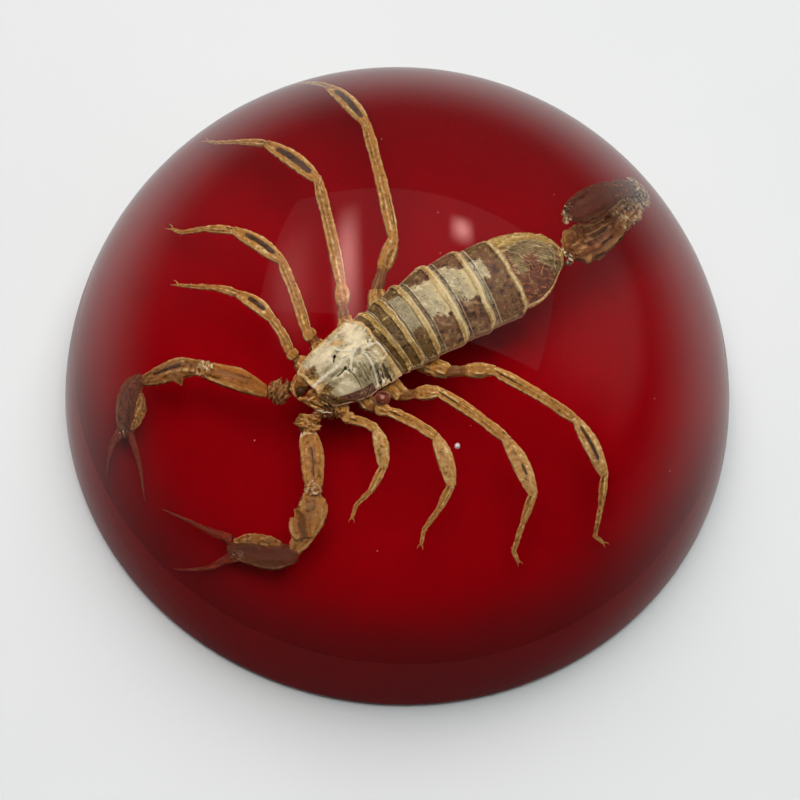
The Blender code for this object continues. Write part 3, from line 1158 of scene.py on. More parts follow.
def build_mouthparts(look):
    """The jaws in front of the head plate: golden folds of skin round a glossy hollow, which its groove mark
    paints dark as shade.
    """
    skin = Skin()
    jaws = (((1.3, -0.25, 14.1), (0.5, -0.30, 14.2), (-0.3, -0.55, 13.9)),
            ((1.4, -2.20, 14.1), (0.6, -2.15, 14.1), (0.0, -2.05, 13.7)))
    for number, path in enumerate(jaws):
        add_part(skin, path, (0.80, 0.78, 0.62, 0.30), (0.5, 0.55, 0.45, 0.22), index=number, steps=56,
                 around=44, rough=0.10, lump=0.5, folds=0.18, seed=3.0 + number)
    # The mouth's hollow is a closed tube, painted dark as shade.
    hollow = ((0.5, -1.00, 14.0), (-0.15, -1.15, 14.25), (-0.65, -1.35, 13.9))
    add_part(skin, hollow, (0.30, 0.42, 0.22), (0.30, 0.36, 0.20), index=2, steps=30, around=30,
             rough=0.05, lump=0.4, marks={"groove": 1.2}, seed=6.0)
    folds = (((0.26, 0.40, 14.2), (-0.45, -0.24, 14.2), (-0.80, -0.80, 14.1), (-0.72, -1.35, 14.0)),
             ((-0.35, -1.70, 14.1), (0.10, -2.25, 14.2), (0.64, -2.80, 14.1), (1.10, -3.50, 14.0)),
             ((-0.15, -2.20, 13.8), (0.25, -3.00, 13.8), (0.90, -3.65, 13.7)),
             ((-0.60, -1.40, 13.9), (-0.45, -1.75, 13.9), (-0.10, -2.20, 13.8)))
    for number, path in enumerate(folds):
        add_part(skin, path, (0.12, 0.21, 0.12), (0.14, 0.26, 0.12), index=3 + number, steps=40, around=18,
                 rough=0.10, lump=0.4, marks={"crest": 0.5}, seed=11.0 + number)
    add_folds(skin, (1.3, -3.9, 13.4), 0.75, 8, 0.12, 8, 15, {"amber": 0.6})
    for number, (s, t) in enumerate(((0.5, -3.6), (0.75, -3.95), (1.05, -4.1))):
        streak = ((s - 0.25, t + 0.25, 13.9), (s, t, 14.0), (s + 0.35, t - 0.15, 13.9))
        add_part(skin, streak, (0.03, 0.07, 0.03), (0.05, 0.09, 0.04), index=9, steps=20, around=10,
                 rough=0.05, marks={"pale": 1.3}, seed=17.0 + number)
    return new_piece("jaws", skin, limb_finish(look, "jaw_skin", warmth=0.5), look)


# ---------------------------------------------------------------- back plates and belly

# The rear edge of each back plate: right end, crown, left end, as s, t, z.
PLATE_REARS = [
    ((8.63, 2.87, 14.8), (8.95, -0.60, 16.7), (9.82, -4.38, 14.8)),
    ((10.40, 3.47, 14.8), (10.60, -0.40, 16.8), (11.14, -4.41, 14.8)),
    ((12.48, 3.91, 14.8), (12.70, -0.30, 16.8), (12.91, -4.35, 14.8)),
    ((15.62, 4.45, 14.8), (15.80, -0.10, 16.8), (15.80, -4.31, 14.8)),
    ((18.82, 4.33, 14.8), (18.75, -0.10, 16.8), (18.45, -4.36, 14.8)),
    ((21.87, 3.90, 14.7), (22.10, -0.15, 16.6), (21.99, -4.18, 14.7)),
]
FIRST_PLATE_FRONT = ((6.75, 2.75, 14.5), (7.65, -0.55, 16.1), (8.70, -4.25, 14.4))
PLATE_TUCK = np.array([-0.30, 0.0, -0.24])
# Where each plate's silvery patch lies: across from and to, along from and to, 0 where it has none.
SILVER_PATCHES = [
    (0.0, 0.0, 0.0, 0.0),
    (0.0, 0.0, 0.0, 0.0),
    (0.20, 0.66, 0.20, 0.86),
    (0.22, 0.66, 0.20, 0.88),
    (0.24, 0.63, 0.20, 0.90),
    (0.30, 0.52, 0.05, 0.42),
]
BAND_WIDENING = (0.20, 0.13, 0.08, 0.03, 0.0, -0.03)
BAND_BRIGHTNESS = (0.3, 0.4, 0.8, 1.0, 0.9, 0.3)
STRIP_SILVER = (0.3, 0.5, 0.1, 0.3, 0.7, 1.0)
FILM_GOLD = (1.0, 1.0, 0.7, 0.3, 0.1, 0.45)
PLATE_CORNER = 0.85
PLATE_ROWS = 68
PLATE_COLUMNS = 136


def plate_sheet(front, rear, rows, columns):
    """A vaulted sheet between two edges, each given by its right end, crown and left end."""
    across, along = sheet_places(rows, columns)
    u = across[0]
    v = along[..., None]
    edges = []
    for ends in (front, rear):
        ends = np.array(ends, float)
        line = spline(ends, (u + 1) / 2)
        vault = 1 - np.abs(u) ** 2.3
        line[:, 2] = (ends[0, 2] + ends[2, 2]) / 2 + (ends[1, 2] - ends[0, 2]) * vault
        edges.append(line)
    return edges[0] * (1 - v) + edges[1] * v, across, along


def squeeze(sheet, across, along):
    """Draws a plate's sides in towards its front and rounds its rear corners."""
    middle = sheet[:, sheet.shape[1] // 2, 1][:, None]
    narrowing = 0.085 * (1 - along) ** 1.3 + 0.05 * np.clip((along - 0.70) / 0.30, 0, 1) ** 2.5
    sheet[..., 1] = middle + (sheet[..., 1] - middle) * (1 - narrowing * np.abs(across) ** 2)
    corner = np.clip((np.abs(across) - PLATE_CORNER) / (1 - PLATE_CORNER), 0, 1) ** 2.2
    sheet[..., 0] -= 0.55 * corner * along**3
    return sheet


def build_back_plate(look, number, finish):
    front = FIRST_PLATE_FRONT if number == 0 else np.array(PLATE_REARS[number - 1]) + PLATE_TUCK
    sheet, across, along = plate_sheet(front, PLATE_REARS[number], PLATE_ROWS, PLATE_COLUMNS)
    squeeze(sheet, across, along)
    lift = -0.05 * ease(along, 0.225, 0.185) + 0.09 * np.exp(-(((along - 0.21) / 0.02) ** 2))
    band_start = 0.80 - BAND_WIDENING[number]
    lift += 0.13 * ease(along, band_start - 0.03, band_start + 0.04) - 0.22 * ease(along, 0.955, 1.0)
    lift += 0.10 * np.exp(-(((along - 0.90) / 0.035) ** 2))
    lift += 0.05 * np.sin(along * math.pi) - 0.25 * ease(np.abs(across), 0.95, 1.0)
    lift += 0.08 * ripple(sheet, 1.2, 20.0 + number) + 0.065 * ripple(sheet, 0.42, 30.0 + number)
    lift += 0.035 * ripple(sheet, 0.18, 35.0 + number)
    sheet[..., 2] += lift
    sheet[..., 0] += 0.14 * ripple(sheet, 1.3, 40.0 + number) * ease(along, 0.1, 0.3)
    right, left, first, last = SILVER_PATCHES[number]
    u = (across + 1) / 2 + 0.05 * ripple(sheet, 1.1, 60.0 + number)
    u += 0.03 * ripple(sheet, 0.45, 65.0 + number)
    from_sides = np.minimum(u - right - 0.16 * (along - 0.6), left - u + 0.08 * (along - 0.6))
    from_ends = np.minimum(along - first, last - along)
    inside = np.minimum(4 * np.minimum(from_sides, 0.12), 3 * from_ends)
    marks = {
        "silver": inside if left else -np.ones(u.shape),
        "dull": 0.45 if number == 2 else 0.0,
        "band": BAND_WIDENING[number],
        "bright_band": BAND_BRIGHTNESS[number] * ease(np.abs(across - 0.05), 0.75, 0.35),
        "strip_silver": STRIP_SILVER[number] * ease(np.abs(across), 0.75, 0.35),
        "gold": FILM_GOLD[number] * np.ones(u.shape) + 0.4 * ease(across, -0.6, -0.9),
        "relief": standing(sheet[..., 2], 3, 0.08),
    }
    skin = Skin()
    skin.add_grid(sheet, marks)
    return new_piece(f"back_plate_{number + 1}", skin, finish, look, thickness=0.09, closed=False)


LAST_PLATE_RIBS = [
    # right edge, crown, left edge
    ((21.75, 3.75, 14.5), (21.90, -0.15, 16.4), (21.90, -3.82, 14.5)),
    ((23.60, 3.55, 14.6), (23.50, -0.15, 16.4), (23.30, -3.75, 14.6)),
    ((25.40, 2.80, 14.6), (25.10, -0.25, 16.2), (24.80, -3.10, 14.6)),
    ((26.80, 1.75, 14.6), (26.40, -0.35, 15.9), (26.00, -2.15, 14.6)),
    ((27.60, 0.00, 14.5), (27.35, -0.60, 15.2), (27.10, -1.15, 14.5)),
]
# Each blot: its middle, half length, half width, turn in degrees and strength.
LAST_PLATE_OLIVE = [
    ((24.2, 1.3), 1.9, 0.75, -14, 1.0),
    ((25.8, -0.3), 0.95, 1.3, 10, 1.0),
    ((26.2, -1.5), 0.6, 0.9, 10, 0.8),
    ((22.9, 0.2), 0.60, 1.6, 0, 0.9),
    ((23.2, -2.2), 0.50, 1.1, 20, 0.5),
]
LAST_PLATE_CREASES = [
    ([(22.6, 1.6), (23.6, 0.2), (24.0, -1.2)], 0.16, 0.07),
    ([(23.2, 0.8), (23.6, -0.6), (23.2, -1.8)], 0.13, 0.06),
    ([(22.4, 0.4), (23.4, -0.6), (24.6, -0.8)], 0.12, 0.06),
    ([(24.4, -1.6), (25.2, -1.0), (25.6, -1.8)], 0.12, 0.07),
    ([(25.4, 0.6), (26.2, 0.2), (26.4, -0.8), (25.9, -1.6)], 0.20, 0.09),
]


def build_last_plate(look):
    cage = [head_rib(*rib) for rib in LAST_PLATE_RIBS]
    rows, columns = 124, 134
    sheet = patch(cage, rows, columns)
    across, along = sheet_places(rows, columns)
    wander = wavered(sheet, 0.8, 0.25)
    gold = np.maximum(ease(across, -0.30, -0.65), ease(along, 0.84, 0.93))
    olive = blotted(wander, LAST_PLATE_OLIVE)
    ridges = 1 - 2 * np.abs(ripple(sheet * (0.40, 1.0, 1.0), 0.9, 3.0)) ** 0.7
    lift = 0.16 * ripple(sheet, 0.8, 50.0) + 0.09 * ripple(sheet, 0.35, 51.0)
    lift += 0.03 * ripple(sheet, 0.18, 53.0)
    lift += 0.22 * ridges * gold + 0.12 * ripple(sheet, 0.55, 52.0) * olive
    crease = np.zeros(across.shape)
    for line, height, width in LAST_PLATE_CREASES:
        crease = np.maximum(crease, on_line(wander, line, width))
        lift += height * on_line(wander, line, width)
    rim = np.maximum(ease(across, 0.90, 0.95), ease(along, 0.95, 0.975) * ease(across, -0.6, -0.2))
    lift += 0.16 * rim
    sheet[..., 2] += lift
    marks = {"gold": gold, "olive": olive, "rim": rim, "crease": crease}
    marks["relief"] = standing(sheet[..., 2], 4, 0.11)
    skin = Skin()
    skin.add_grid(sheet, marks)
    return new_piece("back_plate_7", skin, last_plate_finish(look), look, thickness=0.09, closed=False)


def build_belly(look):
    """The underside: soft sides hanging from the back plates, five belly plates and the breast."""
    stations = [
        # s, half width, middle t, side height, lowest height
        (2.0, 1.9, -1.3, 13.9, 13.2),
        (6.0, 3.1, -0.9, 14.2, 12.7),
        (10.0, 3.7, -0.4, 14.7, 12.7),
        (14.0, 4.0, -0.1, 14.7, 12.7),
        (18.0, 4.1, 0.0, 14.7, 12.7),
        (22.0, 3.6, -0.1, 14.6, 12.8),
        (25.0, 2.5, -0.15, 14.5, 13.1),
        (27.3, 0.6, -0.55, 14.5, 13.6),
    ]
    rows, columns = 100, 54
    s, half_width, middle, side, lowest = spline(stations, np.linspace(0, 1, rows)).T[..., None]
    u = np.linspace(-1, 1, columns)
    drop = np.sqrt(np.clip(1 - np.abs(u) ** 2.6, 0, 1))
    sheet = np.zeros((rows, columns, 3))
    sheet[..., 0] = s
    sheet[..., 1] = middle - 0.91 * half_width * u
    sheet[..., 2] = side - (side - lowest) * drop
    step = (s - 9.0) / 3.3
    seam = np.exp(-((((step % 1.0) - 0.5) / 0.06) ** 2)) * (step > 0)
    plate = ease(np.abs(u), 0.8, 0.6)[None, :] * (1 - seam)
    sheet[..., 2] += 0.14 * seam * drop - 0.04 * plate
    sheet = crumple(sheet, 0.9, 0.09, 60.0)
    skin = Skin()
    skin.add_grid(sheet, {"plate": plate * np.ones(sheet.shape[:2])})
    return new_piece("belly", skin, belly_finish(look), look, thickness=0.07, closed=False)


# ---------------------------------------------------------------- legs

# Hip, then the ends of the trochanter, thigh, knee part, shin, first foot part and second foot part,
# then the claws' tip. Each is s, t, z.
LEG_JOINTS = {
    "right_leg_1": [(1.3, 1.9, 13.4), (1.0, 2.8, 13.8), (0.9, 6.1, 14.6), (-0.3, 10.1, 13.6),
                    (-1.8, 12.2, 12.6), (-3.4, 13.8, 11.6), (-4.2, 14.7, 11.0), (-4.5, 15.4, 10.7)],
    "right_leg_2": [(3.6, 2.6, 13.4), (3.3, 3.8, 13.9), (4.3, 10.5, 15.2), (2.3, 15.9, 13.8),
                    (0.4, 17.9, 12.6), (-1.5, 19.2, 11.4), (-2.0, 20.2, 10.9), (-2.3, 21.1, 10.6)],
    "right_leg_3": [(7.0, 3.5, 13.4), (8.2, 6.2, 14.2), (11.1, 16.1, 15.2), (9.3, 22.7, 13.4),
                    (7.4, 25.0, 12.2), (5.7, 26.9, 11.2), (5.1, 28.2, 10.8), (4.8, 29.3, 10.5)],
    "right_leg_4": [(10.9, 4.5, 13.4), (14.4, 7.8, 14.4), (17.9, 19.4, 15.0), (17.7, 26.9, 13.2),
                    (16.3, 31.0, 12.0), (14.8, 31.5, 11.0), (14.2, 32.7, 10.6), (13.4, 32.0, 10.4)],
    "left_leg_1": [(2.3, -4.7, 13.4), (2.6, -5.7, 13.9), (3.8, -8.0, 15.0), (2.9, -11.1, 13.8),
                   (1.0, -12.3, 12.8), (-0.7, -12.6, 11.8), (-1.5, -13.3, 11.2), (-1.7, -13.6, 11.0)],
    "left_leg_2": [(4.9, -5.2, 13.4), (5.9, -6.6, 14.2), (8.2, -11.3, 15.2), (7.5, -15.6, 13.8),
                   (5.6, -16.9, 12.8), (3.6, -17.7, 11.7), (2.8, -18.7, 11.1), (2.5, -19.0, 10.9)],
    "left_leg_3": [(8.0, -5.6, 13.4), (10.8, -7.0, 14.2), (13.8, -14.5, 15.2), (13.8, -20.2, 13.8),
                   (12.0, -21.8, 12.6), (10.0, -23.8, 11.4), (10.0, -24.9, 10.9), (10.1, -25.3, 10.7)],
    "left_leg_4": [(12.6, -5.6, 13.9), (16.1, -7.6, 14.6), (20.6, -16.0, 15.2), (21.0, -21.9, 13.6),
                   (19.6, -24.2, 12.4), (17.9, -26.6, 11.2), (18.5, -27.7, 10.8), (18.8, -28.3, 10.7)],
}
LEG_STOUTNESS = {"1": 0.86, "2": 0.96, "3": 1.02, "4": 1.02}
# Half widths and half depths along each part, in millimetres.
LEG_SHAPES = [
    ((0.46, 0.48, 0.42, 0.62, 0.66, 0.58, 0.40), (0.42, 0.44, 0.38, 0.52, 0.54, 0.48, 0.36)),
    ((0.42, 0.52, 0.53, 0.50, 0.47, 0.50, 0.38), (0.38, 0.44, 0.44, 0.42, 0.38, 0.42, 0.34)),
    ((0.38, 0.60, 0.74, 0.77, 0.72, 0.60, 0.40), (0.34, 0.42, 0.48, 0.50, 0.46, 0.40, 0.32)),
    ((0.30, 0.42, 0.44, 0.38, 0.28), (0.28, 0.35, 0.36, 0.32, 0.25)),
    ((0.25, 0.29, 0.25, 0.20), (0.22, 0.26, 0.23, 0.18)),
    ((0.17, 0.21, 0.18, 0.13), (0.16, 0.19, 0.16, 0.12)),
]
# Hollows on the knee part, painted dark as shade: from, to, angle off the top, half angle, depth.
KNEE_HOLLOWS = {
    "right_leg_1": [(0.28, 0.72, 0.0, 0.45, 0.30)],
    "right_leg_2": [(0.18, 0.78, 0.1, 0.40, 0.22)],
    "right_leg_3": [(0.15, 0.80, 0.0, 0.50, 0.25)],
    "right_leg_4": [(0.12, 0.80, 0.0, 0.50, 0.28)],
    "left_leg_1": [],
    "left_leg_2": [(0.38, 0.50, 0.1, 0.10, 0.05)],
    "left_leg_3": [(0.26, 0.34, 0.1, 0.18, 0.15), (0.50, 0.68, -0.05, 0.20, 0.25)],
    "left_leg_4": [(0.14, 0.74, 0.05, 0.28, 0.30)],
}


def add_spurs(skin, middle, size, count, seed):
    """Short thorns round a joint."""
    draw = random.Random(seed)
    for _ in range(count):
        way = Vector((draw.uniform(-1, 1), draw.uniform(-1, 1), draw.uniform(-0.5, 0.6))).normalized()
        tip = np.array(middle) + np.array(way) * size * draw.uniform(0.8, 1.3)
        path = (np.array(middle), (np.array(middle) + tip) / 2 + (0, 0, 0.03), tip)
        add_part(skin, path, (0.07, 0.05, 0.012), (0.07, 0.05, 0.012), steps=8, around=8, rough=0.0)


def add_claws(skin, root, tip):
    """Two hooked claws at the end of a foot."""
    root, tip = np.array(root, float), np.array(tip, float)
    ahead = tip - root
    aside = np.cross(unit(ahead), (0, 0, 1))
    for turn in (-1, 1):
        path = (root, root + 0.5 * ahead + turn * 0.22 * aside + (0, 0, 0.06),
                root + 1.0 * ahead + turn * 0.30 * aside - (0, 0, 0.10))
        add_part(skin, path, (0.09, 0.06, 0.015), (0.09, 0.06, 0.015), steps=12, around=8, rough=0.0)


def add_joint_skin(skin, middle, before, after, size, seed, pale=0.55):
    """A short crumpled sleeve of skin where two limb parts meet, with a dark pit on top."""
    middle = np.array(middle, float)
    back = unit(np.array(before, float) - middle) * size
    on = unit(np.array(after, float) - middle) * size
    path = (middle + back, middle + (0, 0, -0.05), middle + on)
    pit = ((0.50, 0.62, 0.1, 0.55, 0.25),)
    add_part(skin, path, (size * 0.5, size * 0.74, size * 0.45), (size * 0.5, size * 0.66, size * 0.4),
             index=8, steps=22, around=24, rough=0.16, lump=0.28, dents=pit, marks={"pale": pale}, seed=seed)


def build_leg(look, name, finish):
    joints = [np.array(joint, float) for joint in LEG_JOINTS[name]]
    stout = LEG_STOUTNESS[name[-1]] * look.leg_stoutness
    right = name.startswith("right")
    seed = 70.0 + 3.7 * int(name[-1]) + (20.0 if right else 0.0)
    skin = Skin()
    hip = joints[0]
    inner = np.array([hip[0] + 0.25 * (5.0 - hip[0]), -0.8 + 0.4 * (hip[1] + 0.8), 13.1])
    add_part(skin, (inner, (inner + hip) / 2 - (0, 0, 0.1), hip), (0.8, 0.85, 0.6), (0.6, 0.6, 0.5),
             index=7, steps=40, around=30, rough=0.12, folds=0.20, seed=seed)
    knee = KNEE_HOLLOWS[name]
    side = 1 if right else -1
    slot = [(0.05, 0.40, 0.80 * side, 0.12, 0.12), (0.20, 0.80, -0.55 * side, 0.07, 0.08)]
    if not right:
        slot = [(0.05, 0.30, 0.35, 0.15, 0.26), (0.40, 0.84, 0.42, 0.07, 0.12)]
    dents = {
        0: [(0.60, 0.78, 0.5, 0.14, 0.10), (0.40, 0.42, 0.0, 1.6, 0.12)],
        1: slot + [(0.95, 0.97, 0.1, 0.3, 0.1)],
        2: knee + [(0.05, 0.07, 0.15, 0.35, 0.10), (0.94, 0.97, -0.1, 0.40, 0.14)],
        3: [(0.10, 0.30, 0.3, 0.25, 0.15)],
        4: [(0.15, 0.30, 0.2, 0.30, 0.12)],
    }
    ridges = {
        0: [(0.36, 0.37, 0.0, 2.5, 0.12), (0.45, 0.46, 0.0, 2.5, 0.16)],
        1: [(0.05, 0.95, -0.15 * side, 0.14, 0.07), *edge_ridges(1.2, 0.14, 0.05)],
        2: edge_ridges(1.25, 0.16, 0.04, 0.10, 0.90),
        3: [(0.10, 0.90, -0.3, 0.22, 0.08)],
    }
    arch = (0.10, 0.35, 0.25, 0.10, 0.03, 0.02)
    aside = (0.0, 0.12, 0.28, 0.05, 0.0, 0.0)
    dusk = 0.55 if right else 0.0
    folds = (0.13, 0.06, 0.05, 0.10, 0.10, 0.08)
    for index, (half_widths, half_depths) in enumerate(LEG_SHAPES):
        start, end = joints[index], joints[index + 1]
        run = end - start
        outward = unit(np.cross(run, (0, 0, 1.0))) * side
        middle = (start + end) / 2 + (0, 0, arch[index]) + outward * aside[index] * 0.5
        overlap = unit(run) * 0.12
        steps, around = (60, 36) if index < 3 else (34, 22)
        marks = {"dusk": 0.45 * dusk if index == 2 and knee else 0.2 * dusk}
        if index == 0:
            marks["amber"] = 0.55 * (np.linspace(0, 1, steps) < 0.40)[:, None]
        if index == 1:
            marks["amber"] = 0.28
        if index == 2 and not right:
            marks["crest"] = 0.48
        add_part(skin, (start - overlap, middle, end + overlap),
                 [width * stout for width in half_widths], [depth * stout for depth in half_depths],
                 index=index, steps=steps, around=around, dents=dents.get(index, ()),
                 ridges=ridges.get(index, ()), rough=0.05, lump=0.4, folds=folds[index], marks=marks,
                 seed=seed + index)
        if index < 4:
            add_joint_skin(skin, end, start, joints[index + 2], (0.50, 0.56, 0.50, 0.34)[index] * stout,
                           seed + index, 0.35)
        if index in (2, 3, 4):
            add_spurs(skin, end, 0.42 * stout, 3, int(seed) * 10 + index)
    add_claws(skin, joints[6], joints[7])
    return new_piece(name, skin, finish, look)


# ---------------------------------------------------------------- claw arms


CLAW_ARMS = {
    "right_claw_arm": {
        "trochanter": [(1.2, 0.0, 13.2), (-0.3, 0.0, 13.3), (-1.6, -0.1, 13.3)],
        "upper": [(-2.7, 0.4, 13.4), (-4.9, 2.9, 13.9), (-6.9, 5.0, 13.6)],
        "fore": [(-6.9, 5.5, 13.4), (-9.2, 6.75, 13.2), (-11.5, 7.4, 12.7), (-13.2, 8.0, 12.2)],
        "fore_widths": (0.60, 0.85, 0.95, 0.88, 0.72, 0.50),
        "hand": [(-13.0, 8.4, 12.2), (-15.3, 7.6, 11.7), (-17.0, 6.0, 11.2), (-18.3, 4.4, 10.8)],
        "fixed": [(-17.1, 4.6, 10.8), (-17.4, 2.8, 10.5), (-18.1, 0.7, 10.2), (-19.7, -2.3, 9.8)],
        "moving": [(-18.3, 5.2, 10.8), (-20.4, 4.6, 10.6), (-22.1, 3.6, 10.3), (-24.6, 1.7, 9.9)],
        "ball": (-1.85, -0.15, 13.6),
        "ball_reach": 1.20,
        "ball_amber": 0.50,
        "spur": [(-9.6, 7.2, 13.1), (-9.6, 6.5, 13.2), (-9.7, 5.8, 13.2), (-9.76, 5.15, 13.1)],
        "spur_widths": (1.3, 1.05, 0.55, 0.06),
        "crest": [(-13.9, 7.0, 12.0), (-15.1, 5.5, 11.6), (-17.0, 4.6, 11.0)],
        "fore_dents": [(0.30, 0.75, 0.15, 0.26, 0.16)],
        "upper_dents": [(0.20, 0.85, -0.45, 0.05, 0.05), (0.30, 0.85, 0.25, 0.05, 0.06)],
        "hand_width": 1.08,
        "hand_amber": 0.65,
        "fore_dusk": 0.55,
        "golden": 0.0,
        "top_patch": 0.0,
    },
    "left_claw_arm": {
        "trochanter": [(1.6, -3.0, 13.0), (0.7, -3.5, 13.2), (-0.6, -3.9, 13.4)],
        "upper": [(-1.3, -4.5, 13.6), (-2.4, -7.1, 14.0), (-3.8, -9.9, 13.6)],
        "fore": [(-4.2, -10.3, 13.4), (-5.1, -11.9, 13.1), (-6.8, -13.3, 12.5), (-8.7, -14.5, 12.0)],
        "fore_widths": (0.80, 1.22, 1.32, 1.12, 0.86, 0.55),
        "hand": [(-8.5, -14.9, 12.0), (-10.5, -14.0, 11.6), (-12.5, -12.4, 11.2), (-14.4, -11.0, 10.8)],
        "fixed": [(-13.3, -10.3, 10.9), (-14.8, -8.4, 10.6), (-16.1, -6.5, 10.3), (-18.2, -3.9, 9.9)],
        "moving": [(-13.9, -11.9, 10.7), (-15.8, -11.9, 10.4), (-18.0, -11.8, 10.1), (-22.6, -10.5, 9.9)],
        "ball": (-1.10, -4.20, 13.7),
        "ball_reach": 1.15,
        "ball_amber": 0.0,
        "spur": [(-7.2, -14.0, 12.8), (-6.9, -12.9, 13.0), (-6.3, -11.9, 13.2), (-6.5, -10.85, 13.1)],
        "spur_widths": (0.9, 1.15, 0.95, 0.06),
        "crest": [(-9.4, -13.3, 12.1), (-11.3, -11.7, 11.7), (-13.3, -10.6, 11.1)],
        "fore_dents": [(0.25, 0.60, 0.35, 0.05, 0.08), (0.35, 0.75, 0.60, 0.05, 0.08)],
        "upper_dents": [(0.42, 0.88, 0.02, 0.05, 0.22), (0.20, 0.85, 0.32, 0.04, 0.14),
                        (0.22, 0.80, -0.28, 0.04, 0.14)],
        "hand_width": 1.20,
        "hand_amber": 0.85,
        "fore_dusk": 0.38,
        "golden": 0.45,
        "top_patch": 1.0,
    },
}


def add_teeth(skin, path, half_widths, count, size, seed):
    """Small thorns along both edges of an arm part with these half widths."""
    draw = random.Random(seed)
    places = np.linspace(0.12, 0.88, count)
    middles = spline(path, places)
    reach = spline(half_widths, places) * 0.98
    forward = unit(np.gradient(middles, axis=0))
    for middle, ahead, half_width in zip(middles, forward, reach):
        aside = unit(np.cross(ahead, (0, 0, 1.0)))
        for turn in (-1, 1):
            root = middle + turn * aside * (half_width - 0.06) + (0, 0, draw.uniform(-0.15, 0.15))
            tip = root + turn * aside * size * draw.uniform(0.7, 1.4)
            add_part(skin, (root, tip), (0.06, 0.012), (0.06, 0.012), steps=5, around=6, rough=0.0)


def build_claw_arm(look, name, finish, number):
    arm = CLAW_ARMS[name]
    skin = Skin()
    seed = 120.0 + 9 * number
    add_part(skin, arm["trochanter"], (0.45, 0.42, 0.42, 0.5), (0.4, 0.4, 0.4, 0.45), index=0, steps=60,
             around=40, rough=0.12, lump=0.4, folds=0.20, marks={"amber": 0.5}, seed=seed)
    out = np.array(arm["upper"][-1]) - arm["upper"][0]
    add_folds(skin, arm["ball"], arm["ball_reach"], 8, 0.20, 0, int(seed),
              {"crest": 0.25, "amber": arm["ball_amber"]}, out)
    steps, around = 100, 52
    upper_places = np.linspace(0, 1, steps)[:, None]
    top_patch = 0.9 * ease(upper_places, 0.22, 0.14) * ease(upper_places, 0.0, 0.05)
    upper_widths = (0.50, 0.84, 1.00, 1.02, 0.92, 0.74)
    add_part(skin, arm["upper"], upper_widths, (0.45, 0.62, 0.72, 0.70, 0.62, 0.5), index=1, steps=steps,
             around=around, dents=arm["upper_dents"], folds=0.07, rough=0.05, seed=seed,
             marks={"pale": top_patch * arm["top_patch"], "amber": 0.15, "crest": arm["golden"]},
             ridges=[*edge_ridges(1.25, 0.12, 0.07), (0.88, 0.90, 0.0, 2.0, 0.12)])
    add_teeth(skin, arm["upper"], upper_widths, 13, 0.14, int(seed))
    fore_middle = (np.array(arm["fore"][1]) + arm["fore"][2]) / 2
    add_part(skin, arm["fore"], arm["fore_widths"], (0.45, 0.58, 0.62, 0.60, 0.54, 0.42), index=2,
             steps=steps, around=around, dents=arm["fore_dents"], ridges=edge_ridges(1.2, 0.12, 0.06),
             rough=0.08, lump=0.5, folds=0.12, seed=seed + 1,
             marks={"dusk": arm["fore_dusk"], "crest": arm["golden"]})
    add_teeth(skin, arm["fore"], arm["fore_widths"], 10, 0.13, int(seed) + 1)
    knee = (np.array(arm["upper"][-1]) + arm["fore"][0]) / 2
    add_joint_skin(skin, knee, arm["upper"][1], fore_middle, 1.05, seed + 2, 0.40)
    add_folds(skin, knee, 0.80, 4, 0.24, 3, int(seed) + 2, {"pale": 0.38, "crest": 0.3}, out)
    add_part(skin, arm["spur"], arm["spur_widths"], (0.30, 0.42, 0.25, 0.04), index=3, steps=60, around=36,
             rough=0.06, lump=0.4, folds=0.10, seed=seed + 3, marks={"dusk": arm["fore_dusk"]},
             ridges=edge_ridges(1.3, 0.12, 0.05, last=0.98))
    hand_widths = [width * arm["hand_width"] for width in (0.50, 1.02, 1.25, 1.22, 0.95, 0.50)]
    add_part(skin, arm["hand"], hand_widths, (0.45, 0.75, 0.92, 0.88, 0.70, 0.40),
             index=4, steps=110, around=60, rough=0.07, lump=0.6, folds=0.08, seed=seed + 4,
             marks={"amber": arm["hand_amber"], "dusk": 0.15},
             ridges=[(0.05, 0.95, 0.45, 0.06, 0.05), (0.05, 0.95, -0.50, 0.06, 0.05),
                     *edge_ridges(1.3, 0.10, 0.08, last=0.90)])
    add_part(skin, arm["crest"], (0.30, 0.70, 0.62, 0.25), (0.28, 0.55, 0.50, 0.25), index=5, steps=60,
             around=40, rough=0.10, lump=0.35, folds=0.20, seed=seed + 5, marks={"crest": 0.45, "dusk": 0.4})
    finger_widths = (0.62, 0.46, 0.36, 0.26, 0.17, 0.05)
    finger_depths = (0.52, 0.40, 0.31, 0.23, 0.15, 0.05)
    for index, finger in ((6, "fixed"), (7, "moving")):
        add_part(skin, arm[finger], finger_widths, finger_depths, index=index, steps=90, around=30,
                 rough=0.05, lump=0.4, folds=0.12, seed=seed + index,
                 dents=((0.10, 0.7, 0.3, 0.20, 0.14),), marks={"amber": 0.5, "thin": 1.0})
    add_joint_skin(skin, arm["moving"][0], arm["hand"][2], arm["moving"][1], 0.72, seed + 8, 0.6)
    dots = random.Random(int(seed) + 8)
    for _ in range(6):
        spot = np.array(arm["moving"][0]) + [dots.uniform(-0.5, 0.7), dots.uniform(-0.4, 0.5), 0.50]
        add_part(skin, (spot - (0.1, 0, 0), spot, spot + (0.1, 0, 0)), (0.03, 0.11, 0.03), (0.03, 0.11, 0.03),
                 index=9, steps=10, around=10, rough=0.0, marks={"pale": 1.2})
    return new_piece(name, skin, finish, look)


# ---------------------------------------------------------------- tail

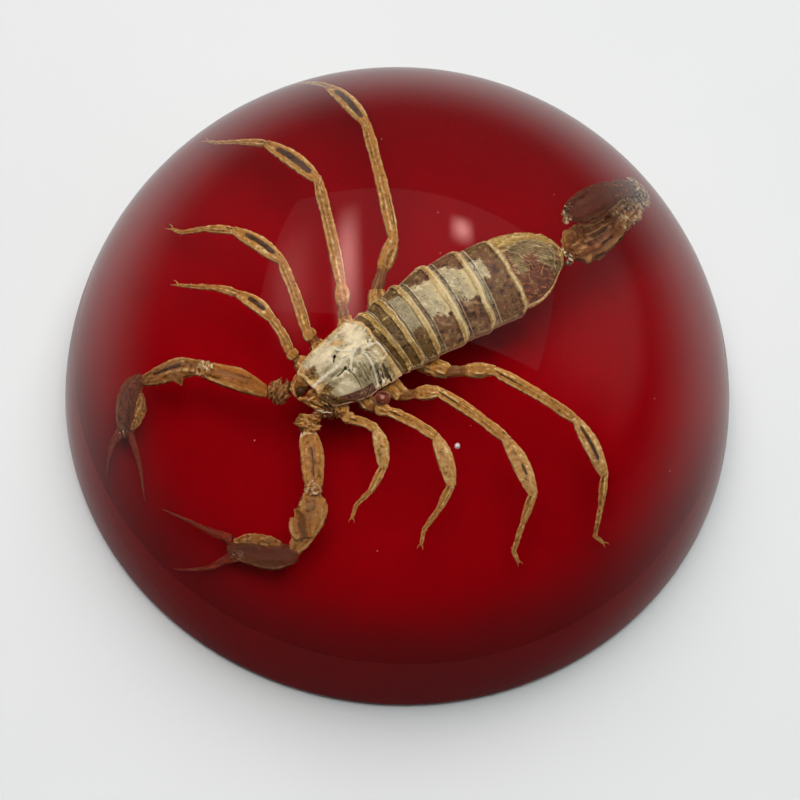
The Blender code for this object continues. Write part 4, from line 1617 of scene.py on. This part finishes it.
TAIL_PARTS = [
    # path, half widths, half depths
    ([(27.9, -0.70, 14.6), (28.8, -0.45, 14.7), (30.0, -0.45, 14.8)], (0.75, 1.60, 1.70), (0.7, 1.1, 1.1)),
    ([(29.2, -0.45, 14.8), (31.0, -0.50, 14.8), (33.0, -0.25, 15.0), (35.0, 0.30, 15.3)],
     (1.70, 1.70, 1.54, 1.40, 1.15), (1.0, 1.1, 1.1, 1.0, 0.9)),
    ([(34.6, 0.20, 15.3), (36.9, 0.65, 15.9), (38.8, 1.15, 16.5)], (1.15, 1.35, 1.30, 1.05),
     (0.85, 0.95, 0.9, 0.8)),
    ([(38.3, 1.1, 16.4), (40.2, 1.4, 17.0), (41.5, 2.0, 17.5), (41.3, 2.7, 18.0), (40.0, 2.75, 18.2)],
     (1.05, 1.10, 1.05, 0.95, 0.88), (0.75, 0.8, 0.8, 0.8, 0.75)),
    ([(40.6, 2.70, 18.2), (38.2, 2.45, 18.5), (35.7, 2.40, 18.6)], (0.85, 1.00, 1.06, 1.10),
     (0.8, 0.9, 0.9, 0.8)),
    ([(36.1, 2.40, 18.6), (33.6, 2.05, 18.5), (31.4, 1.75, 18.4), (29.5, 1.75, 18.2)],
     (1.10, 1.40, 1.48, 1.30, 0.72), (0.8, 0.95, 0.95, 0.9, 0.7)),
]
# How crumpled and how deeply folded each part is, and how strong its marks are.
TAIL_LOOKS = [
    {"rough": 0.16, "folds": 0.22, "marks": {"amber": 0.42}},
    {"rough": 0.09, "folds": 0.20, "marks": {"amber": 0.52, "dusk": 0.2}},
    {"rough": 0.14, "folds": 0.22, "marks": {"amber": 0.30, "dusk": 0.3, "pale": 0.38}},
    {"rough": 0.22, "folds": 0.24, "marks": {"amber": 0.20, "dusk": 0.75, "pale": 0.40}},
    {"rough": 0.06, "folds": 0.14, "marks": {"amber": 0.95, "dusk": 0.45, "groove": 0.30}},
    {"rough": 0.06, "folds": 0.13, "marks": {"amber": 1.10, "groove": 0.36}},
]


def build_tail(look, finish):
    """Six tail parts: two run out from the body, one curls up at the dome's side, two fold back."""
    skin = Skin()
    draw = random.Random(12)
    for index, (path, half_widths, half_depths) in enumerate(TAIL_PARTS):
        ridges, dents = [], []
        for angle in (-1.25, -0.75, -0.3, 0.15, 0.6, 1.1):
            angle += draw.uniform(-0.12, 0.12)
            first, last = draw.uniform(0.0, 0.30), draw.uniform(0.65, 1.0)
            ridges.append((first, last, angle, draw.uniform(0.05, 0.10), draw.uniform(0.06, 0.15)))
            dents.append((first + 0.1, last - 0.1, angle + 0.22, 0.10, draw.uniform(0.08, 0.16)))
        if index > 3:
            ridges = edge_ridges(1.25, 0.10, 0.05, 0.02, 0.98)
        add_part(skin, path, half_widths, half_depths, index=index, steps=90, around=60, lump=0.45,
                 ridges=ridges, dents=dents[::2] if index else (), seed=160.0 + index, **TAIL_LOOKS[index])
    loose_skin = [(29.8, 1.15, 16.4), (32.0, 1.10, 16.6), (34.0, 1.30, 17.0), (35.6, 1.4, 17.3)]
    strand_widths = (0.04, 0.08, 0.07, 0.03)
    for number, shift in enumerate((-0.12, 0.0, 0.15)):
        strand = [np.array(point) + (0.4 * number, shift, 0.1 * number) for point in loose_skin]
        add_part(skin, strand, strand_widths, strand_widths, index=6 + number, steps=50, around=12,
                 rough=0.14, lump=0.5, seed=180.0 + number)
    add_folds(skin, (30.0, 0.55, 15.6), 0.55, 8, 0.08, 9, 24)
    return new_piece("tail", skin, finish, look)


def build_tail_beads(look):
    """Glossy knobs of the joints where the tail meets the body and at its folded end."""
    skin = Skin()
    draw = random.Random(9)
    knobs = [((30.4, 2.65, 18.1), 0.34), ((29.9, 2.3, 18.3), 0.40), ((29.4, 1.9, 18.2), 0.46),
             ((29.05, 1.35, 18.0), 0.38), ((29.6, 1.3, 18.4), 0.32)]
    for number in range(9):
        turn = 2 * math.pi * number / 9
        s = 27.75 + draw.uniform(-0.25, 0.25)
        place = (s, -0.75 + 0.62 * math.cos(turn), 14.5 + 0.62 * math.sin(turn))
        knobs.append((place, draw.uniform(0.24, 0.36)))
    for number, (place, size) in enumerate(knobs):
        spot = np.array(place)
        path = (spot - (size, 0, 0), spot, spot + (size, 0, 0))
        widths = (0.1 * size, size, 0.1 * size)
        add_part(skin, path, widths, widths, steps=20, around=20, rough=0.08, lump=0.3, seed=200.0 + number)
    return new_piece("tail_joint_knobs", skin, bead_finish(), look)


# ---------------------------------------------------------------- in the resin


# The bubble's painted rim reflection and highlight are centred as it is looked at from a little to the near
# side, in the animal's own directions.
BUBBLE_LEAN = np.array([-0.16, -0.22])


def build_bubble(look):
    """The air bubble caught beside the left legs, a little flattened."""
    skin = Skin()
    radius, middle = 0.72, np.array([5.95, -5.35, 14.5])
    around, steps = 48, 40
    angle = np.arange(around) * 2 * math.pi / around
    turn = np.linspace(0, math.pi, steps)[1:-1, None]
    swell = radius * np.sin(turn) * (1 + 0.03 * np.cos(2 * angle))
    height = -0.92 * radius * np.cos(turn) * np.ones(around)
    out = np.stack([swell * np.cos(angle), swell * np.sin(angle), height], -1)
    apart = np.linalg.norm(out[..., :2] - BUBBLE_LEAN * out[..., 2:], axis=-1)
    # Marks for the bubble's painted rim reflection and painted highlight.
    marks = {"outline": ease(apart, 0.80 * radius, 0.98 * radius), "glint": ease(apart, 0.5 * radius, 0.0)}
    skin.add_grid(middle + out, marks, ring=True, capped=True)
    return new_piece("air_bubble", skin, bubble_finish(), look)


def build_specks(look):
    """One large white speck above the left legs and a few tiny ones elsewhere in the resin."""
    skin = Skin()
    draw = random.Random(31)
    specks = [((8.8, -14.1, 18.0), 0.29)]
    for _ in range(14):
        turn, reach = draw.uniform(0, 2 * math.pi), 30 * math.sqrt(draw.random())
        place = (13.0 + reach * math.cos(turn), 1.0 + reach * math.sin(turn), draw.uniform(11, 19))
        specks.append((place, draw.uniform(0.02, 0.045)))
    for number, (middle, size) in enumerate(specks):
        path = [np.array(middle) + (share * size, 0, 0) for share in (-1, -0.3, 0.5, 1)]
        widths = (0.15 * size, 0.9 * size, 0.8 * size, 0.15 * size)
        detail = 18 if number == 0 else 7
        add_part(skin, path, widths, widths, steps=detail, around=detail, rough=0.25 * size, lump=size,
                 seed=240.0 + number)
    return new_piece("specks", skin, speck_finish(), look)


# ---------------------------------------------------------------- stage


AIM_YAW = math.radians(-0.108)
AIM_PITCH = math.radians(-0.951)
AIM_ROLL = math.radians(-6.58)
FLOOR_HALF_WIDTH = 1.2
FLOOR_DROP = 0.00005


def build_camera(stage):
    """Looks down on the paperweight from the near side, a little turned about its own axis."""
    elevation = stage.view_elevation
    place = Vector((0.0, -math.cos(elevation), math.sin(elevation))) * stage.view_distance
    right = Vector((1.0, 0.0, 0.0))
    ahead = -place.normalized()
    up = right.cross(ahead)
    yaw = Matrix.Rotation(AIM_YAW, 3, up)
    ahead, right = yaw @ ahead, yaw @ right
    pitch = Matrix.Rotation(AIM_PITCH, 3, right)
    ahead, up = pitch @ ahead, pitch @ up
    roll = Matrix.Rotation(AIM_ROLL, 3, ahead)
    right, up = roll @ right, roll @ up
    data = bpy.data.cameras.new("view")
    data.sensor_fit = "HORIZONTAL"
    data.angle = stage.view_field
    data.clip_start = 0.005
    data.clip_end = 20.0
    camera = bpy.data.objects.new("view", data)
    camera.matrix_world = Matrix.Translation(place) @ Matrix((right, up, -ahead)).transposed().to_4x4()
    bpy.context.scene.collection.objects.link(camera)
    bpy.context.scene.camera = camera


def soft_light(name, power, size, place, turn=0.0, tilt=0.0, seen=True, tinted=False):
    """A soft light facing down. seen says whether polished resin shows its reflection.

    A tinted light is rosy, as its reflection is in the photo, and fades out towards its edges.
    """
    data = bpy.data.lights.new(name, "AREA")
    data.shape = "RECTANGLE"
    data.size, data.size_y = size
    data.energy = power
    if tinted:
        data.color = (1.0, 0.50, 0.46)
        data.use_nodes = True
        nodes = Nodes(data.node_tree)
        x, y, _ = nodes.split(nodes.node("ShaderNodeNewGeometry").outputs["Parametric"])
        strength = 1.0
        for across in (x, y):
            for edge in (0.0, 1.0):
                strength = nodes.times(nodes.ease(across, edge, 0.5), strength)
        nodes.feed(nodes.tree.nodes["Emission"].inputs["Strength"], strength)
    lamp = bpy.data.objects.new(name, data)
    lamp.location = place
    lamp.rotation_euler = (math.radians(tilt), 0.0, math.radians(turn))
    lamp.visible_glossy = seen
    bpy.context.scene.collection.objects.link(lamp)


def build_room(stage):
    """A plain grey room: dark on the near side, brighter to the right and low on the far side.

    Seen directly, past the floor's edge, it is a pale backdrop.
    """
    world = bpy.data.worlds.new("grey_room")
    world.use_nodes = True
    room = Nodes(world.node_tree)
    x, y, z = room.split(room.node("ShaderNodeTexCoord").outputs["Generated"])
    right = room.times(room.ease(x, 0.60, 0.84, 0.0, 0.16), room.ease(y, -0.25, 0.15))
    right = room.times(right, room.ease(z, 0.06, 0.26))
    walls = room.add(room.ease(y, -0.1, 0.6, 0.0, 0.07), right)
    below = room.times(room.ease(z, 0.12, -0.45), room.ease(y, -0.6, 0.65, 0.05, 0.44))
    seen = room.node("ShaderNodeLightPath").outputs["Is Camera Ray"]
    background = room.tree.nodes["Background"]
    room.feed(background.inputs["Strength"], room.most(room.add(walls, below), seen))
    brightness = stage.room_brightness
    room.feed(background.inputs["Color"], (brightness, brightness, 0.98 * brightness, 1.0))
    bpy.context.scene.world = world


def build_floor(stage):
    """A pale tabletop, left out of reflections, where the room's lower half stands in for it."""
    mesh = bpy.data.meshes.new("pale_floor")
    shaped = bmesh.new()
    bmesh.ops.create_grid(shaped, x_segments=8, y_segments=8, size=FLOOR_HALF_WIDTH)
    bmesh.ops.translate(shaped, verts=shaped.verts, vec=(0.0, 0.0, -FLOOR_DROP))
    shaped.to_mesh(mesh)
    shaped.free()
    mesh.materials.append(floor_finish(stage))
    floor = bpy.data.objects.new("pale_floor", mesh)
    bpy.context.scene.collection.objects.link(floor)
    floor.visible_glossy = False


def build_stage(stage):
    build_floor(stage)
    build_room(stage)
    soft_light("key_light", stage.key_power, (1.3, 1.3), (0.0, 0.35, 1.0), tilt=-19.0, seen=False)
    soft_light("overhead_light", stage.overhead_power, (1.4, 0.72), (0.0, 0.34, 0.70), turn=-6.0)
    strip = stage.strip_power
    soft_light("left_strip_light", strip, (0.15, 0.80), (-0.255, 0.24, 0.69), turn=9.0, tinted=True)
    soft_light("side_strip_light", 0.36 * strip, (0.34, 0.80), (-0.52, 0.18, 0.69), turn=9.0, tinted=True)
    soft_light("far_strip_light", 0.30 * strip, (0.13, 0.22), (0.18, 0.46, 0.69), tinted=True)
    build_camera(stage)
    bpy.context.scene.view_settings.view_transform = "Standard"


# ---------------------------------------------------------------- operators


class PAPERWEIGHT_OT_resin(bpy.types.Operator):
    """Build the clear resin cap and the red resin foot layer"""

    bl_idname = "paperweight.resin"
    bl_label = "Resin Cap and Foot"

    def execute(self, context):
        build_clear_dome(context.scene.resin_settings)
        build_red_foot(context.scene.resin_settings)
        return {"FINISHED"}


class PAPERWEIGHT_OT_head(bpy.types.Operator):
    """Build the scorpion's head plate and jaws"""

    bl_idname = "paperweight.head"
    bl_label = "Head Plate and Jaws"

    def execute(self, context):
        build_head_plate(context.scene.scorpion_settings)
        build_mouthparts(context.scene.scorpion_settings)
        return {"FINISHED"}


class PAPERWEIGHT_OT_back_plates(bpy.types.Operator):
    """Build the scorpion's seven back plates"""

    bl_idname = "paperweight.back_plates"
    bl_label = "Back Plates"

    def execute(self, context):
        look = context.scene.scorpion_settings
        finish = back_plate_finish(look)
        for number in range(len(PLATE_REARS)):
            build_back_plate(look, number, finish)
        build_last_plate(look)
        return {"FINISHED"}


class PAPERWEIGHT_OT_belly(bpy.types.Operator):
    """Build the scorpion's underside"""

    bl_idname = "paperweight.belly"
    bl_label = "Belly"

    def execute(self, context):
        build_belly(context.scene.scorpion_settings)
        return {"FINISHED"}


class PAPERWEIGHT_OT_legs(bpy.types.Operator):
    """Build the scorpion's eight walking legs"""

    bl_idname = "paperweight.legs"
    bl_label = "Legs"

    def execute(self, context):
        look = context.scene.scorpion_settings
        finish = limb_finish(look, "leg_shell")
        for name in LEG_JOINTS:
            build_leg(look, name, finish)
        return {"FINISHED"}


class PAPERWEIGHT_OT_claw_arms(bpy.types.Operator):
    """Build the scorpion's two claw arms"""

    bl_idname = "paperweight.claw_arms"
    bl_label = "Claw Arms"

    def execute(self, context):
        look = context.scene.scorpion_settings
        finish = limb_finish(look, "claw_arm_shell", warmth=0.65)
        for number, name in enumerate(CLAW_ARMS):
            build_claw_arm(look, name, finish, number)
        return {"FINISHED"}


class PAPERWEIGHT_OT_tail(bpy.types.Operator):
    """Build the scorpion's tail and the knobs at its joints"""

    bl_idname = "paperweight.tail"
    bl_label = "Tail"

    def execute(self, context):
        look = context.scene.scorpion_settings
        build_tail(look, limb_finish(look, "tail_shell", warmth=0.75, greyness=0.05))
        build_tail_beads(look)
        return {"FINISHED"}


class PAPERWEIGHT_OT_inclusions(bpy.types.Operator):
    """Build the air bubble and the specks in the resin"""

    bl_idname = "paperweight.inclusions"
    bl_label = "Bubble and Specks"

    def execute(self, context):
        build_bubble(context.scene.scorpion_settings)
        build_specks(context.scene.scorpion_settings)
        return {"FINISHED"}


class PAPERWEIGHT_OT_stage(bpy.types.Operator):
    """Build the floor, the room, the lights and the camera"""

    bl_idname = "paperweight.stage"
    bl_label = "Stage"

    def execute(self, context):
        build_stage(context.scene.stage_settings)
        return {"FINISHED"}


class PAPERWEIGHT_PT_pieces(bpy.types.Panel):
    """Lists the paperweight's settings and pieces"""

    bl_idname = "PAPERWEIGHT_PT_pieces"
    bl_label = "Scorpion Paperweight"
    bl_space_type = "VIEW_3D"
    bl_region_type = "UI"
    bl_category = "Paperweight"

    def draw(self, context):
        for group in SETTINGS:
            box = self.layout.box()
            settings = getattr(context.scene, group)
            for name in SETTINGS[group].__annotations__:
                box.prop(settings, name)
        for operator in OPERATORS:
            self.layout.operator(operator.bl_idname)


SETTINGS = {
    "resin_settings": ResinSettings,
    "scorpion_settings": ScorpionSettings,
    "stage_settings": StageSettings,
}
OPERATORS = (
    PAPERWEIGHT_OT_resin,
    PAPERWEIGHT_OT_head,
    PAPERWEIGHT_OT_back_plates,
    PAPERWEIGHT_OT_belly,
    PAPERWEIGHT_OT_legs,
    PAPERWEIGHT_OT_claw_arms,
    PAPERWEIGHT_OT_tail,
    PAPERWEIGHT_OT_inclusions,
    PAPERWEIGHT_OT_stage,
)
CLASSES = (*SETTINGS.values(), *OPERATORS, PAPERWEIGHT_PT_pieces)


def register():
    for made in CLASSES:
        bpy.utils.register_class(made)
    for name, group in SETTINGS.items():
        setattr(bpy.types.Scene, name, PointerProperty(type=group))


def unregister():
    for name in SETTINGS:
        delattr(bpy.types.Scene, name)
    for made in reversed(CLASSES):
        bpy.utils.unregister_class(made)


def main():
    register()
    bpy.ops.paperweight.resin()
    bpy.ops.paperweight.head()
    bpy.ops.paperweight.back_plates()
    bpy.ops.paperweight.belly()
    bpy.ops.paperweight.legs()
    bpy.ops.paperweight.claw_arms()
    bpy.ops.paperweight.tail()
    bpy.ops.paperweight.inclusions()
    bpy.ops.paperweight.stage()


if __name__ == "__main__":
    main()
